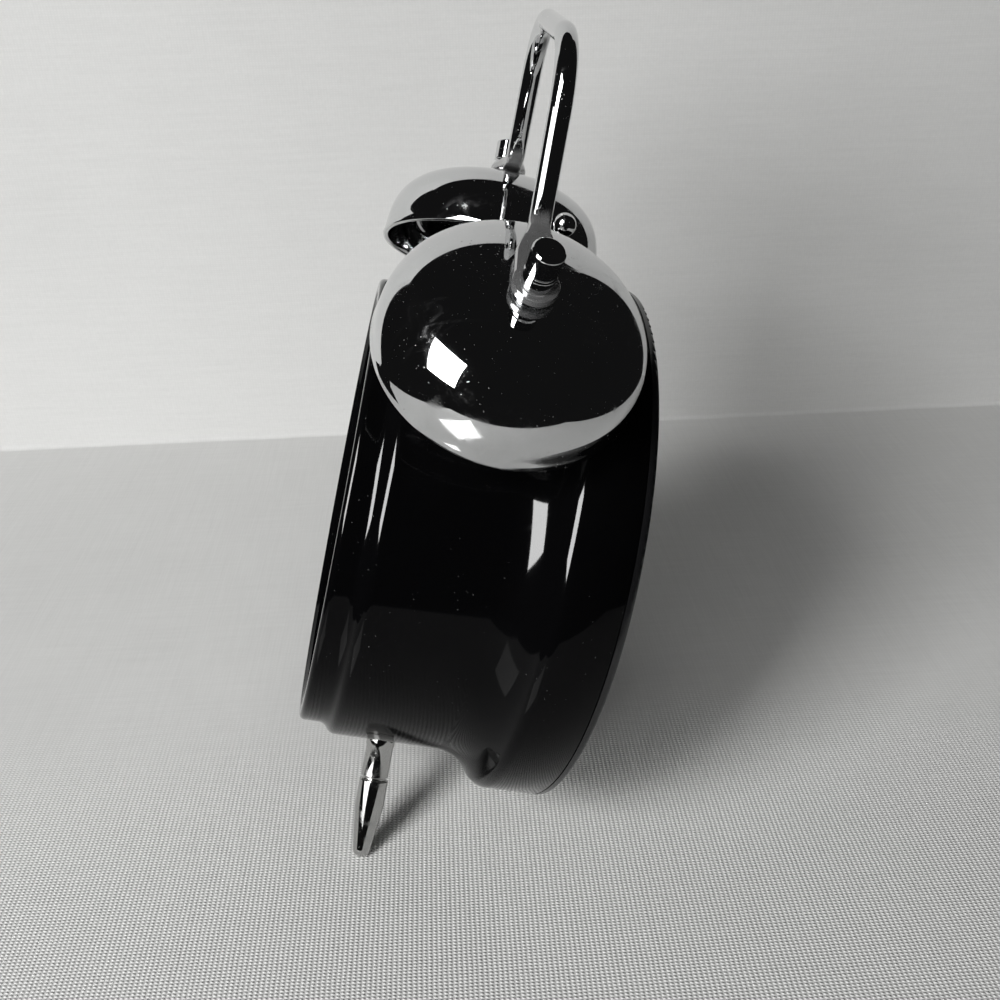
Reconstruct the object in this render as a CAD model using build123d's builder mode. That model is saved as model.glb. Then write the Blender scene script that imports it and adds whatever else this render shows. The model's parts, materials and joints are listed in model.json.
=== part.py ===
"""Twin bell alarm clock: a leaning drum on two legs, with a battery movement and a hammer between two bells.

Millimetres, +Z up, the dial looks towards -Y and +X is the clock's own right as seen from the front.
The origin is on the table, under the middle of the clock. Inside the case a place is (x, v, depth):
x to the right, v up the dial from its centre, depth from the front edge towards the back.
"""
import os
from math import acos, atan2, cos, degrees, hypot, pi, radians, sin, sqrt, tan

from build123d import *

os.makedirs("parts", exist_ok=True)

# Case: a stepped drum that leans back
CASE_LEAN = 15.2
CASE_DEPTH = 46.0
FRONT_RADIUS = 42.1
MIDDLE_RADIUS = 43.9
REAR_RADIUS = 49.7
FRONT_BAND = 3.6
FRONT_STEP = 3.3
REAR_STEP_START = 25.7
REAR_HOLLOW = 9.0
REAR_CROWN = 2.6
SHELL_WALL = 0.9
FRONT_ROUNDING = 1.0
LIP_WIDTH = 2.6
RIM_THICKNESS = 1.4
RIM_ROUNDING = 0.7

# Front: bezel, lens, reflector ring, dial
BEZEL_WIDTH = 1.4
BEZEL_FLANGE = 1.0
LENS_THICKNESS = 1.4
REFLECTOR_DEPTH = 7.5
REFLECTOR_FACE = 2.2
REFLECTOR_SLOPE = 2.4
DIAL_THICKNESS = 0.6
RETAINER_DEPTH = 1.2
RETAINER_WIDTH = 3.2

# Back cover, battery and screws
COVER_WALL = 1.2
COVER_RECESS = 1.7
BATTERY_RADIUS = 7.1
BATTERY_LENGTH = 50.0
BATTERY_NUB_RADIUS = 2.7
BATTERY_NUB = 1.0
BATTERY_DROP = 24.4
BAY_CORNER = 2.0
CONTACT_THICKNESS = 0.4
CONTACT_WIDTH = 9.0
DOOR_LEDGE = 0.8
SCREW_FROM_EDGE = 5.8
SCREW_CIRCLE = REAR_RADIUS - SCREW_FROM_EDGE
SCREW_RADIUS = 1.1
SCREW_HEAD_RADIUS = 2.3
SCREW_HEAD = 1.1
SCREW_LENGTH = 4.4
LUG_WIDTH = 7.0
LUG_DEPTH = 4.0

# Bells, posts and handle
BELL_ANGLE = 30.0
BELL_DEPTH = 20.3
BELL_REACH = 51.8
BELL_RADIUS = 20.9
BELL_HEIGHT = 14.4
BELL_WALL = 1.0
BELL_FULLNESS = 2.88
POST_RADIUS = 1.4
POST_STEM_RADIUS = 2.0
POST_COLLAR_RADIUS = 3.2
POST_COLLAR = 1.6
WASHER_RADIUS = 2.9
WASHER_THICKNESS = 0.6
EYE_RADIUS = 3.5
EYE_THICKNESS = 1.3
WIRE_RADIUS = 1.7
HANDLE_TOP = 89.3
HANDLE_SHOULDER = 20.3
HANDLE_SHOULDER_BEND = 11.0
HANDLE_TILT = 3.0
STRAP_CORNER = 12.0
STRAP_BEND = 3.2
STRAP_LENGTH = 9.4
STRAP_TAPER = 3.6
CAP_NUT_RADIUS = 2.45
CAP_NUT_HEIGHT = 6.6
CAP_NUT_GROOVE = 0.25
STUD_LENGTH = 4.6
NUT_RADIUS = 3.2
NUT_THICKNESS = 2.2

# Legs
LEG_ANGLE = 148.7
LEG_DEPTH = 16.3
LEG_RING_RADIUS = 2.75
LEG_RING = 1.5
LEG_RADIUS = 2.6
LEG_GROOVE_REACH = 51.5
LEG_GROOVE = 0.5
LEG_BAND = 5.7
LEG_TAPER_REACH = LEG_GROOVE_REACH + LEG_BAND
LEG_TIP_RADIUS = 1.7
LEG_STUD_RADIUS = 1.5

# Hammer and its drive
BALL_RADIUS = 2.0
BALL_HEIGHT = 60.1
BALL_BORE = 1.2
HAMMER_DEPTH = 28.3
HAMMER_PIVOT_HEIGHT = 24.0
HAMMER_SWING = 14.5
LEVER_THICKNESS = 1.0
LEVER_WIDTH = 6.4
ROD_RADIUS = 0.8
FERRULE_RADIUS = 1.6
FERRULE_LENGTH = 6.0
PIVOT_RADIUS = 1.0
PIVOT_HEAD_RADIUS = 1.8
PIVOT_HEAD = 0.6
RINGER_HEIGHT = 12.0
RINGER_THICKNESS = 1.4
CRANK_THROW = 3.0
CRANK_RADIUS = 0.9
MOTOR_RADIUS = 8.0
MOTOR_LENGTH = 8.6
MOTOR_SHAFT_RADIUS = 0.75
BRACKET_WIDTH = 32.0
BRACKET_TOP = 30.0
BRACKET_BOTTOM = -4.0
BRACKET_THICKNESS = 1.0
BRACKET_STAND = 6.4
PILLAR_RADIUS = 1.6

# Movement housing
MOVEMENT_WIDTH = 56.0
MOVEMENT_CORNER = 4.0
MOVEMENT_WALL = 1.2
MOVEMENT_DEPTH = 14.5
BUSH_RADIUS = 4.0
BUSH_WALL = 0.8
DIAL_NUT_ACROSS = 9.6
DIAL_NUT_THICKNESS = 1.2

# Wheels of the movement: teeth
MINUTE_PINION_TEETH, MINUTE_WHEEL_TEETH = 12, 36
HOUR_PINION_TEETH, HOUR_WHEEL_TEETH = 12, 48
ALARM_PINION_TEETH, ALARM_WHEEL_TEETH = 12, 48
SETTING_PINION_TEETH = 12
CENTRE_WHEEL_TEETH, THIRD_PINION_TEETH = 60, 8
THIRD_WHEEL_TEETH, SECONDS_PINION_TEETH = 64, 8
SECONDS_WHEEL_TEETH, STEP_PINION_TEETH = 60, 12
STEP_WHEEL_TEETH, ROTOR_PINION_TEETH = 60, 10
RINGER_TEETH, MOTOR_PINION_TEETH = 36, 10
RINGER_MODULE = 0.5

# Wheels of the movement: distances between arbors
MINUTE_DISTANCE = 12.5
KNOB_DISTANCE = 15.0
KNOB_ANGLE = 30.0
THIRD_DISTANCE = 11.5
STEP_DISTANCE = 12.0
STEP_ANGLE = -60.0
ROTOR_DISTANCE = 11.7
ROTOR_ANGLE = -10.0
WHEEL_THICKNESS = 0.8
ARBOR_RADIUS = 0.5
ROTOR_RADIUS = 2.6
ROTOR_LENGTH = 2.6

# Pipes that carry the hands, one inside the other
SECONDS_ARBOR = 0.8
MINUTE_PIPE = 2.0
HOUR_PIPE = 2.6
ALARM_PIPE = 3.1
HAND_THICKNESS = 0.3
HAND_SPACING = 0.95
SECOND_HAND_LENGTH = 34.0
MINUTE_HAND_LENGTH = 32.0
HOUR_HAND_LENGTH = 22.0
ALARM_HAND_LENGTH = 15.0

# Knobs and the alarm switch
KNOB_RADIUS = 6.0
KNOB_LENGTH = 5.2
KNOB_SHAFT_RADIUS = 1.25
KNOB_FLUTES = 24
SWITCH_TRAVEL = 5.0
SWITCH_DROP = 8.0
SWITCH_STEM = 3.6
SWITCH_STEM_HEIGHT = 2.2

# Clearances
SEAT_GAP = 0.05
FIT_GAP = 0.2
RUN_GAP = 0.06
THREAD_GAP = 0.05
HOLE_GAP = 0.3

# Directions of the leaning case
LEAN = radians(CASE_LEAN)
RIGHT = Vector(1, 0, 0)
FRONT = Vector(0, -cos(LEAN), sin(LEAN))
UP = Vector(0, sin(LEAN), cos(LEAN))

# The rear rim touches the table, and the clock's front and back are equally far from the origin
CENTRE_HEIGHT = (REAR_RADIUS - RIM_ROUNDING) * cos(LEAN) + (CASE_DEPTH - RIM_ROUNDING) * sin(LEAN) + RIM_ROUNDING
FRONT_REACH = (FRONT_RADIUS - FRONT_ROUNDING) * sin(LEAN) - FRONT_ROUNDING * cos(LEAN) + FRONT_ROUNDING
BACK_REACH = (REAR_RADIUS - RIM_ROUNDING) * sin(LEAN) + (CASE_DEPTH - RIM_ROUNDING) * cos(LEAN) + RIM_ROUNDING
CENTRE = Vector(0, (FRONT_REACH - BACK_REACH) / 2, CENTRE_HEIGHT)

# Depths of the front stack
BEZEL_BACK = SHELL_WALL + SEAT_GAP + BEZEL_FLANGE
LENS_FRONT = BEZEL_BACK + SEAT_GAP
LENS_BACK = LENS_FRONT + LENS_THICKNESS
REFLECTOR_FRONT = LENS_BACK + SEAT_GAP
REFLECTOR_BACK = REFLECTOR_FRONT + REFLECTOR_DEPTH
DIAL_FRONT = REFLECTOR_BACK + SEAT_GAP
DIAL_BACK = DIAL_FRONT + DIAL_THICKNESS
LIP_RADIUS = FRONT_RADIUS - LIP_WIDTH
SHELL_INNER = MIDDLE_RADIUS - SHELL_WALL
DIAL_RADIUS = SHELL_INNER - 2 * FIT_GAP

# Depths of the back
SHELL_BACK = CASE_DEPTH - RIM_THICKNESS
COVER_BACK = CASE_DEPTH - COVER_RECESS
COVER_FRONT = COVER_BACK - COVER_WALL
COVER_SKIRT = REAR_RADIUS - SHELL_WALL - FIT_GAP
SCREW_ANGLES = (0, 120, 240)

# Depths inside the movement, from the dial backwards
MOVEMENT_FRONT = DIAL_BACK + SEAT_GAP
MOVEMENT_BACK = MOVEMENT_FRONT + MOVEMENT_DEPTH
PLATE_BACK = MOVEMENT_FRONT + MOVEMENT_WALL
ALARM_WHEEL_FRONT = PLATE_BACK + 0.3
HOUR_WHEEL_FRONT = ALARM_WHEEL_FRONT + WHEEL_THICKNESS + 0.4
MINUTE_WHEEL_FRONT = HOUR_WHEEL_FRONT + WHEEL_THICKNESS + 1.3
BRIDGE_FRONT = MINUTE_WHEEL_FRONT + WHEEL_THICKNESS + 0.5
BRIDGE_BACK = BRIDGE_FRONT + 1.0
CENTRE_WHEEL_FRONT = BRIDGE_BACK + 0.3
THIRD_WHEEL_FRONT = CENTRE_WHEEL_FRONT + WHEEL_THICKNESS + 0.9
SECONDS_WHEEL_FRONT = THIRD_WHEEL_FRONT + WHEEL_THICKNESS + 0.4
STEP_WHEEL_FRONT = SECONDS_WHEEL_FRONT + WHEEL_THICKNESS + 0.4
MOVEMENT_PLATE = MOVEMENT_BACK - MOVEMENT_WALL
PINION_OVERHANG = 0.1

# Depths of the hands, the alarm hand nearest the dial
ALARM_HAND_BACK = DIAL_FRONT - SEAT_GAP - DIAL_NUT_THICKNESS - 0.3
HOUR_HAND_BACK = ALARM_HAND_BACK - HAND_SPACING
MINUTE_HAND_BACK = HOUR_HAND_BACK - HAND_SPACING
SECOND_HAND_BACK = MINUTE_HAND_BACK - HAND_SPACING


def point(x, v, depth):
    """The place of (x, v, depth) in the part's own frame."""
    return CENTRE + RIGHT * x + UP * v - FRONT * depth


def level(depth, x=0.0, v=0.0):
    """A plane parallel to the dial that faces the front."""
    return Plane(origin=point(x, v, depth), x_dir=RIGHT, z_dir=FRONT)


def section(x=0.0, v=0.0):
    """A plane through an arbor: its x is the radius and its y the depth."""
    return Plane(origin=point(x, v, 0), x_dir=RIGHT, z_dir=UP)


def outwards(angle):
    """The direction away from the case's axis at an angle counted clockwise from the top."""
    return RIGHT * sin(radians(angle)) + UP * cos(radians(angle))


def across(angle):
    """The direction square to outwards, in the plane of the dial."""
    return RIGHT * cos(radians(angle)) - UP * sin(radians(angle))


def spoke(angle, depth):
    """A plane through a post or leg: its x is the radius from it and its y the reach from the case's axis."""
    return Plane(origin=point(0, 0, depth), x_dir=across(angle), z_dir=FRONT)


def seat(angle, depth, reach):
    """A plane square to a post or leg, `reach` from the case's axis, that faces outwards."""
    return Plane(origin=point(0, 0, depth) + outwards(angle) * reach, x_dir=across(angle), z_dir=outwards(angle))


def turn(corners, plane, mode=Mode.ADD):
    """Turns an outline of (radius, height) corners about the plane's own y axis."""
    with BuildSketch(plane) as face:
        with BuildLine():
            Polyline(*corners, close=True)
        make_face()
    revolve(face.sketch, axis=Axis(plane.origin, plane.y_dir), mode=mode)


def disc(radius, front, back, x=0.0, v=0.0, bore=0.0, mode=Mode.ADD):
    """A round plate or ring between two depths."""
    with BuildSketch(level(back, x, v)) as face:
        Circle(radius)
        if bore:
            Circle(bore, mode=Mode.SUBTRACT)
    extrude(face.sketch, amount=back - front, mode=mode)


def slab(width, height, front, back, x=0.0, v=0.0, corner=0.0, mode=Mode.ADD):
    """A rectangular plate between two depths."""
    with BuildSketch(level(back, x, v)) as face:
        if corner:
            RectangleRounded(width, height, corner)
        else:
            Rectangle(width, height)
    extrude(face.sketch, amount=back - front, mode=mode)


def peg(radius, angle, depth, start, end, mode=Mode.ADD):
    """A round bar along a spoke, from one reach to another."""
    with BuildSketch(seat(angle, depth, start)) as face:
        Circle(radius)
    extrude(face.sketch, amount=end - start, mode=mode)


def hexagon_nut(angle, depth, outer_reach, bore):
    """A plain nut on a spoke, inside the case wall."""
    with BuildSketch(seat(angle, depth, outer_reach - NUT_THICKNESS)) as face:
        RegularPolygon(NUT_RADIUS, 6)
        Circle(bore, mode=Mode.SUBTRACT)
    extrude(face.sketch, amount=NUT_THICKNESS)


def save(piece, name):
    """Labels a finished piece and writes it as a STEP file."""
    piece.part.label = name
    export_step(piece.part, f"parts/{name}.step")


# Case shell
def drum(inset, front, back, mode=Mode.ADD):
    """The stepped drum, drawn in by a wall, between two depths."""
    front_radius = FRONT_RADIUS - inset
    middle_radius = MIDDLE_RADIUS - inset
    rear_radius = REAR_RADIUS - inset
    slope = acos(1 - (REAR_RADIUS - MIDDLE_RADIUS) / (REAR_HOLLOW + REAR_CROWN))
    band_end = (front_radius, FRONT_BAND)
    middle_start = (middle_radius, FRONT_BAND + FRONT_STEP)
    middle_end = (middle_radius, REAR_STEP_START)
    rear_start = (rear_radius, REAR_STEP_START + (REAR_HOLLOW + REAR_CROWN) * sin(slope))
    front_turn = ((front_radius + middle_radius) / 2, FRONT_BAND + FRONT_STEP / 2)
    rear_turn = (middle_radius + REAR_HOLLOW * (1 - cos(slope)), REAR_STEP_START + REAR_HOLLOW * sin(slope))
    with BuildSketch(section()) as face:
        with BuildLine():
            Polyline((0, back), (0, front), (front_radius, front), band_end)
            TangentArc(band_end, front_turn, tangent=(0, 1))
            TangentArc(middle_start, front_turn, tangent=(0, -1))
            Line(middle_start, middle_end)
            TangentArc(middle_end, rear_turn, tangent=(0, 1))
            TangentArc(rear_start, rear_turn, tangent=(0, -1))
            Polyline(rear_start, (rear_radius, back), (0, back))
        make_face()
    revolve(face.sketch, axis=Axis(point(0, 0, 0), FRONT), mode=mode)


ROD_REACH = MIDDLE_RADIUS - HAMMER_PIVOT_HEIGHT
SLOT_LENGTH = 2 * (ROD_REACH * tan(radians(HAMMER_SWING)) + ROD_RADIUS + 1.2)
SLOT_WIDTH = 2 * ROD_RADIUS + 2.2
LUG_BACK = COVER_FRONT - SEAT_GAP
LUG_INNER = SCREW_CIRCLE - LUG_WIDTH / 2

with BuildPart() as case_shell:
    drum(0, 0, SHELL_BACK)
    front_edge = case_shell.edges().filter_by(GeomType.CIRCLE).sort_by(Axis(CENTRE, FRONT))[-1]
    fillet(front_edge, FRONT_ROUNDING)
    drum(SHELL_WALL, SHELL_WALL, SHELL_BACK + 1, mode=Mode.SUBTRACT)
    disc(LIP_RADIUS, -1, SHELL_WALL + 1, mode=Mode.SUBTRACT)
    for screw_angle in SCREW_ANGLES:
        with BuildSketch(seat(screw_angle, LUG_BACK - LUG_DEPTH / 2, LUG_INNER)) as lug:
            Rectangle(LUG_WIDTH, LUG_DEPTH)
        extrude(lug.sketch, amount=REAR_RADIUS - SHELL_WALL / 2 - LUG_INNER)
    for screw_angle in SCREW_ANGLES:
        hole = outwards(screw_angle) * SCREW_CIRCLE
        with BuildSketch(Plane(origin=point(0, 0, LUG_BACK + 1) + hole, x_dir=RIGHT, z_dir=FRONT)) as pilot:
            Circle(SCREW_RADIUS + THREAD_GAP)
        extrude(pilot.sketch, amount=LUG_DEPTH + 2, mode=Mode.SUBTRACT)
    for side in (1, -1):
        peg(POST_RADIUS + HOLE_GAP, side * BELL_ANGLE, BELL_DEPTH, SHELL_INNER - 2, REAR_RADIUS, mode=Mode.SUBTRACT)
        peg(LEG_STUD_RADIUS + HOLE_GAP, side * LEG_ANGLE, LEG_DEPTH, SHELL_INNER - 2, REAR_RADIUS, mode=Mode.SUBTRACT)
    with BuildSketch(seat(0, HAMMER_DEPTH, SHELL_INNER - 4)) as hammer_slot:
        SlotOverall(SLOT_LENGTH, SLOT_WIDTH)
    extrude(hammer_slot.sketch, amount=10, mode=Mode.SUBTRACT)
save(case_shell, "case_shell")

# Bezel, lens, reflector ring, dial and its retaining ring
BEZEL_OUTER = LIP_RADIUS - FIT_GAP
BEZEL_INNER = BEZEL_OUTER - BEZEL_WIDTH
FLANGE_RADIUS = FRONT_RADIUS - SHELL_WALL - FIT_GAP
with BuildPart() as front_bezel:
    turn(
        [
            (BEZEL_INNER, BEZEL_BACK),
            (BEZEL_INNER, 0.7),
            (BEZEL_INNER + BEZEL_WIDTH / 2, 0.15),
            (BEZEL_OUTER, 0.15),
            (BEZEL_OUTER, SHELL_WALL + SEAT_GAP),
            (FLANGE_RADIUS, SHELL_WALL + SEAT_GAP),
            (FLANGE_RADIUS, BEZEL_BACK),
        ],
        section(),
    )
save(front_bezel, "front_bezel")

with BuildPart() as lens:
    disc(FLANGE_RADIUS - FIT_GAP, LENS_FRONT, LENS_BACK)
    chamfer(lens.edges().filter_by(GeomType.CIRCLE), 0.2)
save(lens, "lens")

REFLECTOR_INNER = FLANGE_RADIUS - REFLECTOR_FACE
with BuildPart() as reflector_ring:
    turn(
        [
            (REFLECTOR_INNER, REFLECTOR_FRONT),
            (FLANGE_RADIUS, REFLECTOR_FRONT),
            (FLANGE_RADIUS, REFLECTOR_BACK),
            (REFLECTOR_INNER - REFLECTOR_SLOPE, REFLECTOR_BACK),
        ],
        section(),
    )
save(reflector_ring, "reflector_ring")

with BuildPart() as dial:
    disc(DIAL_RADIUS, DIAL_FRONT, DIAL_BACK, bore=BUSH_RADIUS + FIT_GAP)
save(dial, "dial")

RETAINER_OUTER = SHELL_INNER - FIT_GAP
with BuildPart() as dial_retainer:
    disc(RETAINER_OUTER, DIAL_BACK + SEAT_GAP, DIAL_BACK + SEAT_GAP + RETAINER_DEPTH, bore=RETAINER_OUTER - RETAINER_WIDTH)
save(dial_retainer, "dial_retainer")

# Back cover with its battery bay, door, cell, contacts and screws
BAY_LENGTH = BATTERY_LENGTH + 2 * (CONTACT_THICKNESS + 0.8)
BAY_HEIGHT = 2 * BATTERY_RADIUS + 1.0
BAY_FLOOR_BACK = COVER_FRONT - 2 * BATTERY_RADIUS - 0.7
BAY_FLOOR_FRONT = BAY_FLOOR_BACK - 1.0
CELL_DEPTH = COVER_FRONT - FIT_GAP - BATTERY_RADIUS
BAY_CENTRE = -BATTERY_DROP
KNOB_X = KNOB_DISTANCE * cos(radians(KNOB_ANGLE))
KNOB_V = KNOB_DISTANCE * sin(radians(KNOB_ANGLE))
SWITCH_START = -SWITCH_TRAVEL / 2
SWITCH_SLOT = SWITCH_TRAVEL + SWITCH_STEM + 2 * FIT_GAP

with BuildPart() as back_cover:
    disc(COVER_SKIRT, COVER_FRONT, SHELL_BACK + SEAT_GAP)
    disc(REAR_RADIUS, SHELL_BACK + SEAT_GAP, CASE_DEPTH)
    rear_edge = back_cover.edges().filter_by(GeomType.CIRCLE).sort_by(Axis(CENTRE, FRONT))[0]
    fillet(rear_edge, RIM_ROUNDING)
    disc(COVER_SKIRT - COVER_WALL, COVER_BACK, CASE_DEPTH + 1, mode=Mode.SUBTRACT)
    slab(
        BAY_LENGTH + 2 * COVER_WALL,
        BAY_HEIGHT + 2 * COVER_WALL,
        BAY_FLOOR_FRONT,
        COVER_FRONT,
        v=BAY_CENTRE,
        corner=BAY_CORNER,
    )
    slab(BAY_LENGTH, BAY_HEIGHT, BAY_FLOOR_BACK, CASE_DEPTH, v=BAY_CENTRE, mode=Mode.SUBTRACT)
    slab(BAY_LENGTH + 2 * DOOR_LEDGE, BAY_HEIGHT, COVER_FRONT, CASE_DEPTH, v=BAY_CENTRE, mode=Mode.SUBTRACT)
    for side in (1, -1):
        disc(KNOB_SHAFT_RADIUS + HOLE_GAP, COVER_FRONT - 1, CASE_DEPTH, x=side * KNOB_X, v=KNOB_V, mode=Mode.SUBTRACT)
    slab(SWITCH_SLOT, SWITCH_STEM_HEIGHT + 2 * FIT_GAP, COVER_FRONT - 1, CASE_DEPTH, v=-SWITCH_DROP, mode=Mode.SUBTRACT)
    for screw_angle in SCREW_ANGLES:
        with BuildSketch(Plane(point(0, 0, CASE_DEPTH) + outwards(screw_angle) * SCREW_CIRCLE, RIGHT, FRONT)) as hole:
            Circle(SCREW_RADIUS + FIT_GAP)
        extrude(hole.sketch, amount=CASE_DEPTH - COVER_FRONT + 1, mode=Mode.SUBTRACT)
save(back_cover, "back_cover")

DOOR_LENGTH = BAY_LENGTH + 2 * (DOOR_LEDGE - FIT_GAP)
with BuildPart() as battery_door:
    slab(DOOR_LENGTH, BAY_HEIGHT - 2 * FIT_GAP, COVER_FRONT + SEAT_GAP, COVER_BACK, v=BAY_CENTRE, corner=0.8)
    slab(DOOR_LENGTH / 4, 1.2, COVER_BACK, COVER_BACK + 0.6, v=BAY_CENTRE + BAY_HEIGHT / 2 - 2.4, corner=0.5)
    slab(DOOR_LENGTH / 4, 1.2, COVER_BACK, COVER_BACK + 0.6, v=BAY_CENTRE + BAY_HEIGHT / 2 - 4.6, corner=0.5)
save(battery_door, "battery_door")


def lying(x, v, depth):
    """A plane that faces the clock's right, for pieces that lie along x."""
    return Plane(origin=point(x, v, depth), x_dir=UP, z_dir=RIGHT)


CELL_END = BATTERY_LENGTH / 2 - BATTERY_NUB
with BuildPart() as battery_cell:
    with BuildSketch(lying(-BATTERY_LENGTH / 2, BAY_CENTRE, CELL_DEPTH)):
        Circle(BATTERY_RADIUS)
    extrude(amount=BATTERY_LENGTH / 2 + CELL_END)
    with BuildSketch(lying(CELL_END, BAY_CENTRE, CELL_DEPTH)):
        Circle(BATTERY_NUB_RADIUS)
    extrude(amount=BATTERY_NUB)
    chamfer(battery_cell.edges().filter_by(GeomType.CIRCLE).sort_by(Axis.X)[0], 0.4)
save(battery_cell, "battery_cell")

CONTACT_REACH = BAY_LENGTH / 2 - SEAT_GAP
CONTACT_BUMP = CONTACT_REACH - CONTACT_THICKNESS - BATTERY_LENGTH / 2 - SEAT_GAP
for side, contact_name in ((1, "battery_contact_positive"), (-1, "battery_contact_negative")):
    with BuildPart() as battery_contact:
        with BuildSketch(lying(side * (CONTACT_REACH - CONTACT_THICKNESS / 2), BAY_CENTRE, CELL_DEPTH)):
            Rectangle(CONTACT_WIDTH, CONTACT_WIDTH)
        extrude(amount=CONTACT_THICKNESS / 2, both=True)
        with BuildSketch(lying(side * (CONTACT_REACH - CONTACT_THICKNESS), BAY_CENTRE, CELL_DEPTH)):
            Circle(BATTERY_NUB_RADIUS * 0.8)
        extrude(amount=-side * CONTACT_BUMP, taper=20)
    save(battery_contact, contact_name)

with BuildPart() as cover_screws:
    for screw_angle in SCREW_ANGLES:
        place = point(0, 0, COVER_BACK + SEAT_GAP) + outwards(screw_angle) * SCREW_CIRCLE
        axis_section = Plane(origin=place, x_dir=RIGHT, z_dir=UP)
        turn(
            [
                (0, -SCREW_LENGTH),
                (SCREW_RADIUS, -SCREW_LENGTH),
                (SCREW_RADIUS, 0),
                (SCREW_HEAD_RADIUS, 0),
                (SCREW_HEAD_RADIUS, SCREW_HEAD * 0.6),
                (SCREW_HEAD_RADIUS * 0.7, SCREW_HEAD),
                (0, SCREW_HEAD),
            ],
            axis_section,
        )
    for screw_angle in SCREW_ANGLES:
        top = point(0, 0, COVER_BACK + SEAT_GAP + SCREW_HEAD) + outwards(screw_angle) * SCREW_CIRCLE
        with BuildSketch(Plane(origin=top, x_dir=RIGHT, z_dir=FRONT)) as cross:
            Rectangle(SCREW_HEAD_RADIUS * 1.1, 0.5)
            Rectangle(0.5, SCREW_HEAD_RADIUS * 1.1)
        extrude(cross.sketch, amount=SCREW_HEAD * 0.6, mode=Mode.SUBTRACT)
save(cover_screws, "cover_screws")

# Legs
LEG_SEAT = MIDDLE_RADIUS + SEAT_GAP
NUT_SEAT = sqrt(SHELL_INNER**2 - NUT_RADIUS**2) - SEAT_GAP
LEG_TILT = cos(pi - radians(LEG_ANGLE)) * cos(LEAN)
LEG_TIP_REACH = (CENTRE_HEIGHT - LEG_DEPTH * sin(LEAN) - LEG_TIP_RADIUS) / LEG_TILT


def leg(side):
    """A turned leg: ring, groove, taper and round tip, with a stud through the case wall."""
    plane = spoke(side * LEG_ANGLE, LEG_DEPTH)
    with BuildPart() as piece:
        with BuildSketch(plane) as face:
            with BuildLine():
                Polyline(
                    (0, LEG_TIP_REACH + LEG_TIP_RADIUS),
                    (0, NUT_SEAT - NUT_THICKNESS - 1.2),
                    (LEG_STUD_RADIUS, NUT_SEAT - NUT_THICKNESS - 1.2),
                    (LEG_STUD_RADIUS, LEG_SEAT),
                    (LEG_RING_RADIUS, LEG_SEAT),
                    (LEG_RING_RADIUS, LEG_SEAT + LEG_RING),
                    (LEG_RADIUS, LEG_SEAT + LEG_RING + 0.3),
                    (LEG_RADIUS, LEG_GROOVE_REACH),
                    (LEG_RADIUS - 0.4, LEG_GROOVE_REACH + 0.1),
                    (LEG_RADIUS - 0.4, LEG_GROOVE_REACH + LEG_GROOVE),
                    (LEG_RING_RADIUS, LEG_GROOVE_REACH + LEG_GROOVE + 0.2),
                    (LEG_RING_RADIUS, LEG_TAPER_REACH),
                    (LEG_TIP_RADIUS, LEG_TIP_REACH),
                )
                CenterArc((0, LEG_TIP_REACH), LEG_TIP_RADIUS, 0, 90)
            make_face()
        revolve(face.sketch, axis=Axis(plane.origin, plane.y_dir))
    return piece


for side, side_name in ((1, "right"), (-1, "left")):
    save(leg(side), f"leg_{side_name}")

# Bells, their posts, washers and nuts
BELL_TOP = BELL_REACH + BELL_HEIGHT
BELL_UNDER = BELL_TOP - BELL_WALL
WASHER_BASE = BELL_TOP + SEAT_GAP
EYE_BASE = WASHER_BASE + WASHER_THICKNESS + SEAT_GAP
EYE_TOP = EYE_BASE + EYE_THICKNESS
CAP_NUT_BASE = EYE_TOP + SEAT_GAP
CAP_NUT_TOP = CAP_NUT_BASE + CAP_NUT_HEIGHT
POST_SEAT = MIDDLE_RADIUS + SEAT_GAP
CURVE_STEPS = 7


def dome_curve(radius, height):
    """Points of the bell's full, flat-crowned side, from rim to crown."""
    turns = [pi / 2 * step / CURVE_STEPS for step in range(CURVE_STEPS + 1)]
    power = 2 / BELL_FULLNESS
    return [(radius * max(cos(t), 0) ** power, BELL_REACH + height * sin(t) ** power) for t in turns[:-1]] + [
        (0, BELL_REACH + height)
    ]


def bell(side):
    plane = spoke(side * BELL_ANGLE, BELL_DEPTH)
    outer = dome_curve(BELL_RADIUS, BELL_HEIGHT)
    inner = dome_curve(BELL_RADIUS - BELL_WALL, BELL_HEIGHT - BELL_WALL)
    with BuildPart() as piece:
        with BuildSketch(plane) as face:
            with BuildLine():
                Spline(*outer, tangents=((0, 1), (-1, 0)))
                Line(outer[-1], inner[-1])
                Spline(*inner, tangents=((0, 1), (-1, 0)))
                Line(inner[0], outer[0])
            make_face()
        revolve(face.sketch, axis=Axis(plane.origin, plane.y_dir))
        peg(POST_RADIUS + HOLE_GAP / 2, side * BELL_ANGLE, BELL_DEPTH, BELL_REACH, BELL_TOP + 2, mode=Mode.SUBTRACT)
    return piece


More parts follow.
